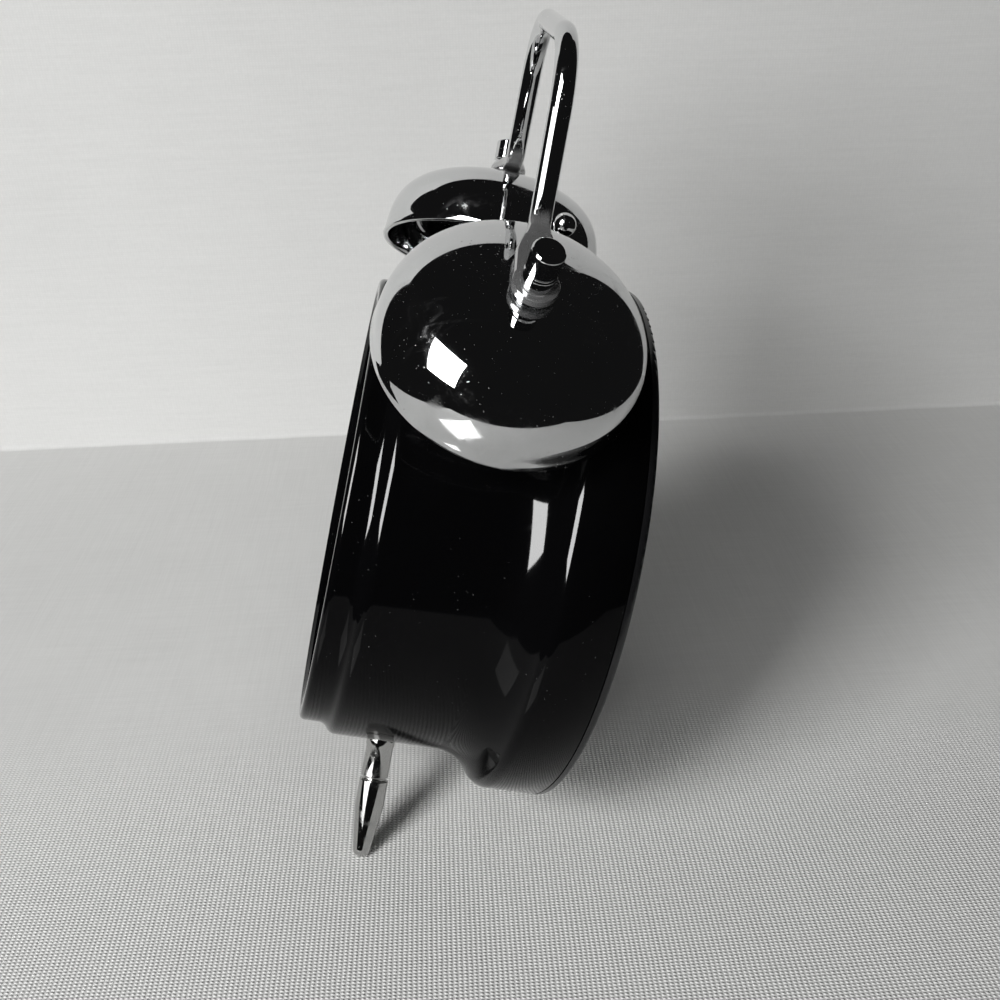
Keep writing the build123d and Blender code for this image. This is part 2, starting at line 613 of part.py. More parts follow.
def bell_post(side):
    """A turned post: stud and collar at the case, stem, shoulder under the bell, stud for the nut."""
    with BuildPart() as piece:
        turn(
            [
                (0, NUT_SEAT - NUT_THICKNESS - 1.2),
                (POST_RADIUS, NUT_SEAT - NUT_THICKNESS - 1.2),
                (POST_RADIUS, POST_SEAT),
                (POST_COLLAR_RADIUS, POST_SEAT),
                (POST_COLLAR_RADIUS, POST_SEAT + POST_COLLAR),
                (POST_STEM_RADIUS, POST_SEAT + POST_COLLAR + 0.6),
                (POST_STEM_RADIUS, BELL_UNDER - POST_COLLAR - 0.6),
                (POST_COLLAR_RADIUS, BELL_UNDER - POST_COLLAR),
                (POST_COLLAR_RADIUS, BELL_UNDER - SEAT_GAP),
                (POST_RADIUS, BELL_UNDER - SEAT_GAP),
                (POST_RADIUS, EYE_TOP + STUD_LENGTH),
                (0, EYE_TOP + STUD_LENGTH),
            ],
            spoke(side * BELL_ANGLE, BELL_DEPTH),
        )
    return piece


def cap_nut(side):
    """A tall round nut with a groove, blind at the top."""
    groove = CAP_NUT_BASE + 0.36 * CAP_NUT_HEIGHT
    inner = CAP_NUT_RADIUS - CAP_NUT_GROOVE
    with BuildPart() as piece:
        turn(
            [
                (POST_RADIUS + THREAD_GAP, CAP_NUT_BASE),
                (inner, CAP_NUT_BASE),
                (CAP_NUT_RADIUS, CAP_NUT_BASE + 0.3),
                (CAP_NUT_RADIUS, groove - 0.25),
                (inner, groove),
                (inner, groove + 0.25),
                (CAP_NUT_RADIUS, groove + 0.5),
                (CAP_NUT_RADIUS, CAP_NUT_TOP - 0.3),
                (CAP_NUT_RADIUS - 0.3, CAP_NUT_TOP),
                (0, CAP_NUT_TOP),
                (0, EYE_TOP + STUD_LENGTH + HOLE_GAP),
                (POST_RADIUS + THREAD_GAP, EYE_TOP + STUD_LENGTH + HOLE_GAP),
            ],
            spoke(side * BELL_ANGLE, BELL_DEPTH),
        )
    return piece


for side, side_name in ((1, "right"), (-1, "left")):
    save(bell(side), f"bell_{side_name}")
    save(bell_post(side), f"bell_post_{side_name}")
    save(cap_nut(side), f"cap_nut_{side_name}")

with BuildPart() as stud_nuts:
    for side in (1, -1):
        hexagon_nut(side * BELL_ANGLE, BELL_DEPTH, NUT_SEAT, POST_RADIUS + THREAD_GAP)
        hexagon_nut(side * LEG_ANGLE, LEG_DEPTH, NUT_SEAT, LEG_STUD_RADIUS + THREAD_GAP)
save(stud_nuts, "stud_nuts")

with BuildPart() as bell_washers:
    for side in (1, -1):
        with BuildSketch(seat(side * BELL_ANGLE, BELL_DEPTH, WASHER_BASE)) as ring:
            Circle(WASHER_RADIUS)
            Circle(POST_RADIUS + HOLE_GAP / 2, mode=Mode.SUBTRACT)
        extrude(ring.sketch, amount=WASHER_THICKNESS)
save(bell_washers, "bell_washers")

# Handle: a round wire arch whose ends bend towards the posts, flatten and sit as eyes under the nuts
EYE_MIDDLE = EYE_BASE + EYE_THICKNESS / 2
STRAP_START = STRAP_LENGTH - STRAP_TAPER


def strap_end(side, length):
    """The middle of the flattened strap, `length` inwards from the eye."""
    place = outwards(side * BELL_ANGLE) * EYE_MIDDLE - across(side * BELL_ANGLE) * (side * length)
    return point(0, 0, BELL_DEPTH) + place


def wire_place(x, v):
    """A place on the handle, which tips a little towards the front as it rises from the eyes."""
    rise = v - EYE_MIDDLE * cos(radians(BELL_ANGLE))
    return point(x, v, BELL_DEPTH - rise * tan(radians(HANDLE_TILT)))


WIRE_START = STRAP_START - 0.5
WIRE_PATH = [
    strap_end(1, WIRE_START),
    strap_end(1, STRAP_CORNER),
    wire_place(HANDLE_SHOULDER, HANDLE_TOP),
    wire_place(-HANDLE_SHOULDER, HANDLE_TOP),
    strap_end(-1, STRAP_CORNER),
    strap_end(-1, WIRE_START),
]
WIRE_BENDS = (STRAP_BEND, HANDLE_SHOULDER_BEND, HANDLE_SHOULDER_BEND, STRAP_BEND)

with BuildPart() as handle:
    with BuildLine() as wire:
        FilletPolyline(*WIRE_PATH, radius=WIRE_BENDS)
    with BuildSketch(Plane(origin=WIRE_PATH[0], x_dir=FRONT, z_dir=across(BELL_ANGLE) * -1)) as wire_end:
        Circle(WIRE_RADIUS)
    sweep(wire_end.sketch, path=wire.line)
    for side in (1, -1):
        for face_side in (1, -1):
            flat = EYE_MIDDLE + face_side * EYE_THICKNESS / 2
            round_top = EYE_MIDDLE + face_side * WIRE_RADIUS
            beyond = round_top + face_side * 0.3
            with BuildSketch(spoke(side * BELL_ANGLE, BELL_DEPTH)) as wedge:
                with BuildLine():
                    Polyline(
                        (-side * STRAP_LENGTH, round_top),
                        (-side * STRAP_START, flat),
                        (-side * (STRAP_START - 1), flat),
                        (-side * (STRAP_START - 1), beyond),
                        (-side * STRAP_LENGTH, beyond),
                        close=True,
                    )
                make_face()
            extrude(wedge.sketch, amount=2 * WIRE_RADIUS, both=True, mode=Mode.SUBTRACT)
        with BuildSketch(seat(side * BELL_ANGLE, BELL_DEPTH, EYE_BASE)) as eye:
            Circle(EYE_RADIUS)
            with Locations((-side * STRAP_START, 0)):
                Rectangle(0.6, 2 * WIRE_RADIUS + 0.3)
            make_hull()
        extrude(eye.sketch, amount=EYE_THICKNESS)
        peg(POST_RADIUS + HOLE_GAP / 2, side * BELL_ANGLE, BELL_DEPTH, EYE_BASE - 1, EYE_TOP + 1, mode=Mode.SUBTRACT)
save(handle, "handle")

# Toothed wheels
PRESSURE_ANGLE = radians(20)


def involute(angle):
    return tan(angle) - angle


def tooth_outline(teeth, module):
    """Corners of an involute wheel whose first tooth points along x."""
    pitch_radius = module * teeth / 2
    base_radius = pitch_radius * cos(PRESSURE_ANGLE)
    tip_radius = pitch_radius + 0.8 * module
    root_radius = pitch_radius - 1.15 * module
    start_radius = max(base_radius, root_radius + 0.15 * module)
    half_tooth = pi / (2 * teeth) - 0.06 * module / pitch_radius + involute(PRESSURE_ANGLE)
    flank = []
    for share in (0, 0.35, 0.7, 1):
        radius = start_radius + (tip_radius - start_radius) * share
        flank.append((radius, half_tooth - involute(acos(min(1, base_radius / radius)))))
    root_half = min(flank[0][1], 0.5 * pi / teeth)
    if teeth < 16:
        root_half *= 0.86
    flank.insert(0, (root_radius, root_half))
    corners = []
    for number in range(teeth):
        middle = 2 * pi * number / teeth
        corners += [(r * cos(middle - a), r * sin(middle - a)) for r, a in flank]
        corners += [(r * cos(middle + a), r * sin(middle + a)) for r, a in reversed(flank)]
    return corners


def wheel_module(distance, teeth_a, teeth_b):
    return 2 * distance / (teeth_a + teeth_b)


def meshed(phase, teeth, other_teeth, direction):
    """The turn of a second wheel that lies in `direction` from a first and meshes with it, in degrees."""
    share = (direction - phase) * teeth / 360
    return direction + 180 + (share + 0.5) * 360 / other_teeth


def wheel(teeth, module, front, back, at=(0, 0), phase=0.0, bore=0.0):
    """A toothed wheel between two depths, turned so that one tooth points at `phase` degrees."""
    tooth_line = RIGHT * cos(radians(phase)) + UP * sin(radians(phase))
    with BuildSketch(Plane(origin=point(at[0], at[1], back), x_dir=tooth_line, z_dir=FRONT)) as face:
        with BuildLine():
            Polyline(*tooth_outline(teeth, module), close=True)
        make_face()
        if bore:
            Circle(bore, mode=Mode.SUBTRACT)
    extrude(face.sketch, amount=back - front)


def polar(distance, angle, start=(0, 0)):
    return (start[0] + distance * cos(radians(angle)), start[1] + distance * sin(radians(angle)))


# Places of the arbors
MINUTE_ANGLE = 180 - KNOB_ANGLE + degrees(acos(KNOB_DISTANCE / (2 * MINUTE_DISTANCE)))
ALARM_KNOB_AT = polar(KNOB_DISTANCE, KNOB_ANGLE)
TIME_KNOB_AT = polar(KNOB_DISTANCE, 180 - KNOB_ANGLE)
MINUTE_AT = polar(MINUTE_DISTANCE, MINUTE_ANGLE)
THIRD_AT = (0, THIRD_DISTANCE)
STEP_AT = polar(STEP_DISTANCE, STEP_ANGLE)
ROTOR_AT = polar(ROTOR_DISTANCE, ROTOR_ANGLE, STEP_AT)
MOTOR_AT = (0, RINGER_HEIGHT + RINGER_MODULE * (RINGER_TEETH + MOTOR_PINION_TEETH) / 2)

MINUTE_MODULE = wheel_module(MINUTE_DISTANCE, MINUTE_PINION_TEETH, MINUTE_WHEEL_TEETH)
HOUR_MODULE = wheel_module(MINUTE_DISTANCE, HOUR_PINION_TEETH, HOUR_WHEEL_TEETH)
ALARM_MODULE = wheel_module(KNOB_DISTANCE, ALARM_PINION_TEETH, ALARM_WHEEL_TEETH)
CENTRE_MODULE = wheel_module(THIRD_DISTANCE, CENTRE_WHEEL_TEETH, THIRD_PINION_TEETH)
THIRD_MODULE = wheel_module(THIRD_DISTANCE, THIRD_WHEEL_TEETH, SECONDS_PINION_TEETH)
SECONDS_MODULE = wheel_module(STEP_DISTANCE, SECONDS_WHEEL_TEETH, STEP_PINION_TEETH)
STEP_MODULE = wheel_module(ROTOR_DISTANCE, STEP_WHEEL_TEETH, ROTOR_PINION_TEETH)

# Movement housing: front with walls, bush and pillars, middle plate, rear plate
BRIDGE_WIDTH = 38.0
BRIDGE_HEIGHT = 40.0
PILLAR_X = 16.5
PILLAR_V = 17.0
FRONT_PILLARS = ((PILLAR_X, PILLAR_V), (-PILLAR_X, PILLAR_V), (PILLAR_X, -PILLAR_V), (-PILLAR_X, -PILLAR_V))
REAR_PILLARS = ((PILLAR_X, PILLAR_V), (-PILLAR_X, PILLAR_V), (-PILLAR_X, -PILLAR_V))
BUSH_FRONT = ALARM_HAND_BACK + 0.15
BUSH_BORE = ALARM_PIPE + RUN_GAP
ARBOR_HOLE = ARBOR_RADIUS + RUN_GAP
SHAFT_HOLE = KNOB_SHAFT_RADIUS + RUN_GAP
ARBOR_FRONT = BRIDGE_FRONT + 0.2
ARBOR_BACK = MOVEMENT_BACK - 0.3
STUB_RADIUS = 1.0

with BuildPart() as movement_front:
    slab(MOVEMENT_WIDTH, MOVEMENT_WIDTH, MOVEMENT_FRONT, MOVEMENT_PLATE - SEAT_GAP, corner=MOVEMENT_CORNER)
    inner_width = MOVEMENT_WIDTH - 2 * MOVEMENT_WALL
    inner_corner = MOVEMENT_CORNER - MOVEMENT_WALL
    slab(inner_width, inner_width, PLATE_BACK, MOVEMENT_BACK, corner=inner_corner, mode=Mode.SUBTRACT)
    disc(BUSH_RADIUS, BUSH_FRONT, MOVEMENT_FRONT + 0.2)
    disc(BUSH_BORE, BUSH_FRONT - 1, PLATE_BACK + 1, mode=Mode.SUBTRACT)
    for x, v in FRONT_PILLARS:
        disc(PILLAR_RADIUS, PLATE_BACK - 0.2, BRIDGE_FRONT - SEAT_GAP, x=x, v=v)
    for x, v in (ALARM_KNOB_AT, TIME_KNOB_AT):
        disc(SHAFT_HOLE, MOVEMENT_FRONT - 1, PLATE_BACK + 1, x=x, v=v, mode=Mode.SUBTRACT)
save(movement_front, "movement_front")

with BuildPart() as middle_plate:
    slab(BRIDGE_WIDTH, BRIDGE_HEIGHT, BRIDGE_FRONT, BRIDGE_BACK, corner=2)
    disc(STUB_RADIUS, HOUR_WHEEL_FRONT - PINION_OVERHANG, BRIDGE_FRONT + 0.2, x=MINUTE_AT[0], v=MINUTE_AT[1])
    disc(MINUTE_PIPE + RUN_GAP, BRIDGE_FRONT - 1, BRIDGE_BACK + 1, mode=Mode.SUBTRACT)
    for x, v in (THIRD_AT, STEP_AT, ROTOR_AT):
        disc(ARBOR_HOLE, BRIDGE_FRONT - 1, BRIDGE_BACK + 1, x=x, v=v, mode=Mode.SUBTRACT)
    for x, v in (ALARM_KNOB_AT, TIME_KNOB_AT):
        disc(SHAFT_HOLE + HOLE_GAP, BRIDGE_FRONT - 1, BRIDGE_BACK + 1, x=x, v=v, mode=Mode.SUBTRACT)
save(middle_plate, "middle_plate")

with BuildPart() as movement_rear:
    slab(MOVEMENT_WIDTH, MOVEMENT_WIDTH, MOVEMENT_PLATE, MOVEMENT_BACK, corner=MOVEMENT_CORNER)
    for x, v in REAR_PILLARS:
        disc(PILLAR_RADIUS, BRIDGE_BACK + SEAT_GAP, MOVEMENT_PLATE + 0.2, x=x, v=v)
    disc(SECONDS_ARBOR + RUN_GAP, MOVEMENT_PLATE - 1, MOVEMENT_BACK + 1, mode=Mode.SUBTRACT)
    for x, v in (THIRD_AT, STEP_AT, ROTOR_AT):
        disc(ARBOR_HOLE, MOVEMENT_PLATE - 1, MOVEMENT_BACK + 1, x=x, v=v, mode=Mode.SUBTRACT)
    for x, v in (ALARM_KNOB_AT, TIME_KNOB_AT):
        disc(SHAFT_HOLE + HOLE_GAP, MOVEMENT_PLATE - 1, MOVEMENT_BACK + 1, x=x, v=v, mode=Mode.SUBTRACT)
    disc(PIVOT_RADIUS + SEAT_GAP, MOVEMENT_PLATE - 1, MOVEMENT_BACK + 1, v=HAMMER_PIVOT_HEIGHT, mode=Mode.SUBTRACT)
save(movement_rear, "movement_rear")

with BuildPart() as dial_nut:
    with BuildSketch(level(DIAL_FRONT - SEAT_GAP)) as face:
        RegularPolygon(DIAL_NUT_ACROSS / 2, 6, major_radius=False)
        Circle(BUSH_RADIUS + THREAD_GAP, mode=Mode.SUBTRACT)
    extrude(face.sketch, amount=DIAL_NUT_THICKNESS)
save(dial_nut, "dial_nut")

# Going train: rotor, step wheel, seconds wheel, third wheel, centre wheel
SECONDS_PHASE = 0.0
STEP_PHASE = meshed(SECONDS_PHASE, SECONDS_WHEEL_TEETH, STEP_PINION_TEETH, STEP_ANGLE)
ROTOR_PHASE = meshed(STEP_PHASE, STEP_WHEEL_TEETH, ROTOR_PINION_TEETH, ROTOR_ANGLE)
THIRD_PHASE = meshed(SECONDS_PHASE, SECONDS_PINION_TEETH, THIRD_WHEEL_TEETH, 90)
CENTRE_PHASE = meshed(THIRD_PHASE, THIRD_PINION_TEETH, CENTRE_WHEEL_TEETH, -90)
HAND_REST_SECONDS = 0.0
HAND_REST_MINUTES = 60.0
HAND_REST_HOURS = 305.0
HAND_REST_ALARM = 210.0

with BuildPart() as seconds_wheel:
    disc(SECONDS_ARBOR, SECOND_HAND_BACK - HAND_THICKNESS - 0.2, ARBOR_BACK)
    disc(SECONDS_ARBOR * 1.5, THIRD_WHEEL_FRONT + WHEEL_THICKNESS + PINION_OVERHANG, SECONDS_WHEEL_FRONT)
    pinion_back = THIRD_WHEEL_FRONT + WHEEL_THICKNESS + PINION_OVERHANG
    wheel(SECONDS_PINION_TEETH, THIRD_MODULE, THIRD_WHEEL_FRONT - PINION_OVERHANG, pinion_back, phase=SECONDS_PHASE)
    wheel(
        SECONDS_WHEEL_TEETH,
        SECONDS_MODULE,
        SECONDS_WHEEL_FRONT,
        SECONDS_WHEEL_FRONT + WHEEL_THICKNESS,
        phase=SECONDS_PHASE,
    )
save(seconds_wheel, "seconds_wheel")

with BuildPart() as third_wheel:
    disc(ARBOR_RADIUS, ARBOR_FRONT, ARBOR_BACK, x=THIRD_AT[0], v=THIRD_AT[1])
    wheel(
        THIRD_PINION_TEETH,
        CENTRE_MODULE,
        CENTRE_WHEEL_FRONT - PINION_OVERHANG,
        THIRD_WHEEL_FRONT,
        at=THIRD_AT,
        phase=THIRD_PHASE,
    )
    wheel(
        THIRD_WHEEL_TEETH,
        THIRD_MODULE,
        THIRD_WHEEL_FRONT,
        THIRD_WHEEL_FRONT + WHEEL_THICKNESS,
        at=THIRD_AT,
        phase=THIRD_PHASE,
    )
save(third_wheel, "third_wheel")

with BuildPart() as centre_wheel:
    wheel(
        CENTRE_WHEEL_TEETH,
        CENTRE_MODULE,
        CENTRE_WHEEL_FRONT,
        CENTRE_WHEEL_FRONT + WHEEL_THICKNESS,
        phase=CENTRE_PHASE,
        bore=MINUTE_PIPE + RUN_GAP,
    )
save(centre_wheel, "centre_wheel")

with BuildPart() as step_wheel:
    disc(ARBOR_RADIUS, ARBOR_FRONT, ARBOR_BACK, x=STEP_AT[0], v=STEP_AT[1])
    wheel(
        STEP_PINION_TEETH,
        SECONDS_MODULE,
        SECONDS_WHEEL_FRONT - PINION_OVERHANG,
        STEP_WHEEL_FRONT,
        at=STEP_AT,
        phase=STEP_PHASE,
    )
    wheel(
        STEP_WHEEL_TEETH,
        STEP_MODULE,
        STEP_WHEEL_FRONT,
        STEP_WHEEL_FRONT + WHEEL_THICKNESS,
        at=STEP_AT,
        phase=STEP_PHASE,
    )
save(step_wheel, "step_wheel")

ROTOR_FRONT = BRIDGE_BACK + 0.25
with BuildPart() as rotor:
    disc(ARBOR_RADIUS, ARBOR_FRONT, ARBOR_BACK, x=ROTOR_AT[0], v=ROTOR_AT[1])
    disc(ROTOR_RADIUS, ROTOR_FRONT, ROTOR_FRONT + ROTOR_LENGTH, x=ROTOR_AT[0], v=ROTOR_AT[1])
    wheel(
        ROTOR_PINION_TEETH,
        STEP_MODULE,
        STEP_WHEEL_FRONT - PINION_OVERHANG,
        STEP_WHEEL_FRONT + WHEEL_THICKNESS + PINION_OVERHANG,
        at=ROTOR_AT,
        phase=ROTOR_PHASE,
    )
save(rotor, "rotor")

# Setting train: minute pipe, minute wheel, hour wheel, time shaft
MINUTE_PHASE = 0.0
MINUTE_WHEEL_PHASE = meshed(MINUTE_PHASE, MINUTE_PINION_TEETH, MINUTE_WHEEL_TEETH, MINUTE_ANGLE)
HOUR_PHASE = meshed(MINUTE_WHEEL_PHASE, HOUR_PINION_TEETH, HOUR_WHEEL_TEETH, MINUTE_ANGLE + 180)
TIME_DIRECTION = degrees(atan2(TIME_KNOB_AT[1] - MINUTE_AT[1], TIME_KNOB_AT[0] - MINUTE_AT[0]))
TIME_PHASE = meshed(MINUTE_WHEEL_PHASE, MINUTE_WHEEL_TEETH, SETTING_PINION_TEETH, TIME_DIRECTION)
MINUTE_WHEEL_BACK = MINUTE_WHEEL_FRONT + WHEEL_THICKNESS
PIPE_BORE = SECONDS_ARBOR + RUN_GAP

with BuildPart() as minute_arbor:
    disc(MINUTE_PIPE, MINUTE_HAND_BACK - HAND_THICKNESS - 0.2, CENTRE_WHEEL_FRONT + WHEEL_THICKNESS + 0.1)
    disc(MINUTE_PIPE + 0.6, CENTRE_WHEEL_FRONT + WHEEL_THICKNESS + 0.1, CENTRE_WHEEL_FRONT + WHEEL_THICKNESS + 0.5)
    wheel(
        MINUTE_PINION_TEETH,
        MINUTE_MODULE,
        MINUTE_WHEEL_FRONT - PINION_OVERHANG,
        MINUTE_WHEEL_BACK + PINION_OVERHANG,
        phase=MINUTE_PHASE,
    )
    disc(PIPE_BORE, MINUTE_HAND_BACK - 2, CENTRE_WHEEL_FRONT + 3, mode=Mode.SUBTRACT)
save(minute_arbor, "minute_arbor")

with BuildPart() as minute_wheel:
    wheel(
        HOUR_PINION_TEETH,
        HOUR_MODULE,
        HOUR_WHEEL_FRONT - PINION_OVERHANG / 2,
        MINUTE_WHEEL_FRONT,
        at=MINUTE_AT,
        phase=MINUTE_WHEEL_PHASE,
        bore=STUB_RADIUS + RUN_GAP,
    )
    wheel(
        MINUTE_WHEEL_TEETH,
        MINUTE_MODULE,
        MINUTE_WHEEL_FRONT,
        MINUTE_WHEEL_BACK,
        at=MINUTE_AT,
        phase=MINUTE_WHEEL_PHASE,
        bore=STUB_RADIUS + RUN_GAP,
    )
save(minute_wheel, "minute_wheel")

with BuildPart() as hour_wheel:
    wheel(
        HOUR_WHEEL_TEETH,
        HOUR_MODULE,
        HOUR_WHEEL_FRONT,
        HOUR_WHEEL_FRONT + WHEEL_THICKNESS,
        phase=HOUR_PHASE,
    )
    disc(HOUR_PIPE, HOUR_HAND_BACK - HAND_THICKNESS - 0.2, HOUR_WHEEL_FRONT + WHEEL_THICKNESS)
    disc(MINUTE_PIPE + RUN_GAP, HOUR_HAND_BACK - 2, HOUR_WHEEL_FRONT + 2, mode=Mode.SUBTRACT)
save(hour_wheel, "hour_wheel")

KNOB_FRONT = CASE_DEPTH + 0.4
SHAFT_BACK = KNOB_FRONT + KNOB_LENGTH - 1.4
with BuildPart() as time_shaft:
    disc(KNOB_SHAFT_RADIUS, MOVEMENT_FRONT + 0.3, SHAFT_BACK, x=TIME_KNOB_AT[0], v=TIME_KNOB_AT[1])
    wheel(
        SETTING_PINION_TEETH,
        MINUTE_MODULE,
        MINUTE_WHEEL_FRONT - PINION_OVERHANG,
        MINUTE_WHEEL_BACK + PINION_OVERHANG,
        at=TIME_KNOB_AT,
        phase=TIME_PHASE,
    )
save(time_shaft, "time_shaft")

# Alarm setting: wheel with the alarm hand's pipe, and its shaft
ALARM_PHASE = 0.0
ALARM_SHAFT_PHASE = meshed(ALARM_PHASE, ALARM_WHEEL_TEETH, ALARM_PINION_TEETH, KNOB_ANGLE)
with BuildPart() as alarm_wheel:
    wheel(
        ALARM_WHEEL_TEETH,
        ALARM_MODULE,
        ALARM_WHEEL_FRONT,
        ALARM_WHEEL_FRONT + WHEEL_THICKNESS,
        phase=ALARM_PHASE,
    )
    disc(ALARM_PIPE, ALARM_HAND_BACK - HAND_THICKNESS - 0.2, ALARM_WHEEL_FRONT + WHEEL_THICKNESS)
    disc(HOUR_PIPE + RUN_GAP, ALARM_HAND_BACK - 2, ALARM_WHEEL_FRONT + 2, mode=Mode.SUBTRACT)
save(alarm_wheel, "alarm_wheel")

with BuildPart() as alarm_shaft:
    disc(KNOB_SHAFT_RADIUS, MOVEMENT_FRONT + 0.3, SHAFT_BACK, x=ALARM_KNOB_AT[0], v=ALARM_KNOB_AT[1])
    wheel(
        ALARM_PINION_TEETH,
        ALARM_MODULE,
        ALARM_WHEEL_FRONT - PINION_OVERHANG,
        ALARM_WHEEL_FRONT + WHEEL_THICKNESS + PINION_OVERHANG,
        at=ALARM_KNOB_AT,
        phase=ALARM_SHAFT_PHASE,
    )
save(alarm_shaft, "alarm_shaft")

# Knobs with fluted rims
for knob_name, (x, v) in (("time_knob", TIME_KNOB_AT), ("alarm_knob", ALARM_KNOB_AT)):
    with BuildPart() as knob:
        disc(KNOB_RADIUS, KNOB_FRONT, KNOB_FRONT + KNOB_LENGTH, x=x, v=v)
        chamfer(knob.edges().filter_by(GeomType.CIRCLE).sort_by(Axis(CENTRE, FRONT))[0], 0.5)
        with BuildSketch(level(KNOB_FRONT + KNOB_LENGTH, x, v)) as flutes:
            with PolarLocations(KNOB_RADIUS + 0.2, KNOB_FLUTES):
                Circle(0.5)
        extrude(flutes.sketch, amount=KNOB_LENGTH - 0.8, mode=Mode.SUBTRACT)
        disc(KNOB_SHAFT_RADIUS + SEAT_GAP, KNOB_FRONT - 1, SHAFT_BACK + SEAT_GAP, x=x, v=v, mode=Mode.SUBTRACT)
    save(knob, knob_name)


# Hands
def hand(length, width, tail, rest, back, bore, hub_radius):
    """A flat pointed hand at its rest angle, in degrees clockwise from the top."""
    with BuildPart() as piece:
        with BuildSketch(Plane(origin=point(0, 0, back), x_dir=across(rest), z_dir=FRONT)) as face:
            with BuildLine():
                Polyline(
                    (-width * 0.35, -tail),
                    (width * 0.35, -tail),
                    (width / 2, length * 0.62),
                    (0.2, length),
                    (-0.2, length),
                    (-width / 2, length * 0.62),
                    close=True,
                )
            make_face()
            Circle(hub_radius)
            Circle(bore, mode=Mode.SUBTRACT)
        extrude(face.sketch, amount=HAND_THICKNESS)
    return piece


save(
    hand(HOUR_HAND_LENGTH, 4.4, 3.0, HAND_REST_HOURS, HOUR_HAND_BACK, HOUR_PIPE + SEAT_GAP, HOUR_PIPE + 1.3),
    "hour_hand",
)
save(
    hand(MINUTE_HAND_LENGTH, 3.2, 3.0, HAND_REST_MINUTES, MINUTE_HAND_BACK, MINUTE_PIPE + SEAT_GAP, MINUTE_PIPE + 1.3),
    "minute_hand",
)
save(
    hand(ALARM_HAND_LENGTH, 2.0, 3.0, HAND_REST_ALARM, ALARM_HAND_BACK, ALARM_PIPE + SEAT_GAP, ALARM_PIPE + 1.2),
    "alarm_hand",
)
second_hand = hand(
    SECOND_HAND_LENGTH, 0.9, 9.0, HAND_REST_SECONDS, SECOND_HAND_BACK, SECONDS_ARBOR + SEAT_GAP, SECONDS_ARBOR + 1.0
)
save(second_hand, "second_hand")

# Motor of the going train: stator, core, bobbin, winding, circuit board
STATOR_FRONT = BRIDGE_BACK + SEAT_GAP
STATOR_BACK = STATOR_FRONT + 1.0
CORE_BACK = STATOR_BACK + SEAT_GAP + 1.0
COIL_DEPTH = CORE_BACK - 0.5
COIL_X = 22.5
COIL_BOTTOM = -4.6
COIL_TOP = 12.6
COIL_FLANGE = 5.6
CORE_WIDTH = 2.4
CORE_LENGTH = COIL_TOP - COIL_BOTTOM + 5.8
COIL_MIDDLE = (COIL_TOP + COIL_BOTTOM) / 2

with BuildPart() as stator:
    slab(11.8, 12.0, STATOR_FRONT, STATOR_BACK, x=18.7, v=-11.5)
    slab(3.9, 20.8, STATOR_FRONT, STATOR_BACK, x=17.25, v=4.8)
    slab(9.3, 1.8, STATOR_FRONT, STATOR_BACK, x=19.95, v=14.3)
    disc(ROTOR_RADIUS + 0.4, STATOR_FRONT - 1, STATOR_BACK + 1, x=ROTOR_AT[0], v=ROTOR_AT[1], mode=Mode.SUBTRACT)
save(stator, "stator")

with BuildPart() as coil_core:
    slab(CORE_WIDTH, CORE_LENGTH, STATOR_BACK + SEAT_GAP, CORE_BACK, x=COIL_X, v=COIL_MIDDLE - 0.4)
save(coil_core, "coil_core")


def coil_ring(width, start, end, mode=Mode.ADD):
    """A square bar along the coil, between two heights up the dial."""
    with BuildSketch(Plane(origin=point(COIL_X, start, COIL_DEPTH), x_dir=RIGHT, z_dir=UP)) as face:
        RectangleRounded(width, width, 0.4)
    extrude(face.sketch, amount=end - start, mode=mode)


def core_hole():
    """The bobbin's opening for the core."""
    with BuildSketch(Plane(origin=point(COIL_X, COIL_BOTTOM - 1, COIL_DEPTH), x_dir=RIGHT, z_dir=UP)) as face:
        Rectangle(CORE_WIDTH + 2 * SEAT_GAP, 1.0 + 2 * SEAT_GAP)
    extrude(face.sketch, amount=COIL_TOP - COIL_BOTTOM + 2, mode=Mode.SUBTRACT)


with BuildPart() as coil_bobbin:
    coil_ring(3.4, COIL_BOTTOM, COIL_TOP)
    coil_ring(COIL_FLANGE, COIL_BOTTOM, COIL_BOTTOM + 0.8)
    coil_ring(COIL_FLANGE, COIL_TOP - 0.8, COIL_TOP)
    core_hole()
save(coil_bobbin, "coil_bobbin")

with BuildPart() as coil_winding:
    coil_ring(COIL_FLANGE - 0.6, COIL_BOTTOM + 0.85, COIL_TOP - 0.85)
    coil_ring(3.5, COIL_BOTTOM, COIL_TOP, mode=Mode.SUBTRACT)
save(coil_winding, "coil_winding")

BOARD_FRONT = BRIDGE_BACK + SEAT_GAP
BOARD_BACK = BOARD_FRONT + 0.8
BOARD_X = -15.0
BOARD_V = -18.25
BOARD_WIDTH = 20.0
BOARD_HEIGHT = 11.5
CRYSTAL_RADIUS = 1.0
CRYSTAL_LENGTH = 6.2
CRYSTAL_X = BOARD_X - BOARD_WIDTH / 2 + CRYSTAL_RADIUS - 0.2
CRYSTAL_V = BOARD_V - BOARD_HEIGHT / 2 + 1.8
with BuildPart() as circuit_board:
    slab(BOARD_WIDTH, BOARD_HEIGHT, BOARD_FRONT, BOARD_BACK, x=BOARD_X, v=BOARD_V, corner=0.6)
    disc(2.4, BOARD_BACK - 0.1, BOARD_BACK + 0.8, x=-9, v=-18)
    disc(PILLAR_RADIUS + FIT_GAP, BOARD_FRONT - 1, BOARD_BACK + 2, x=-PILLAR_X, v=-PILLAR_V, mode=Mode.SUBTRACT)
save(circuit_board, "circuit_board")

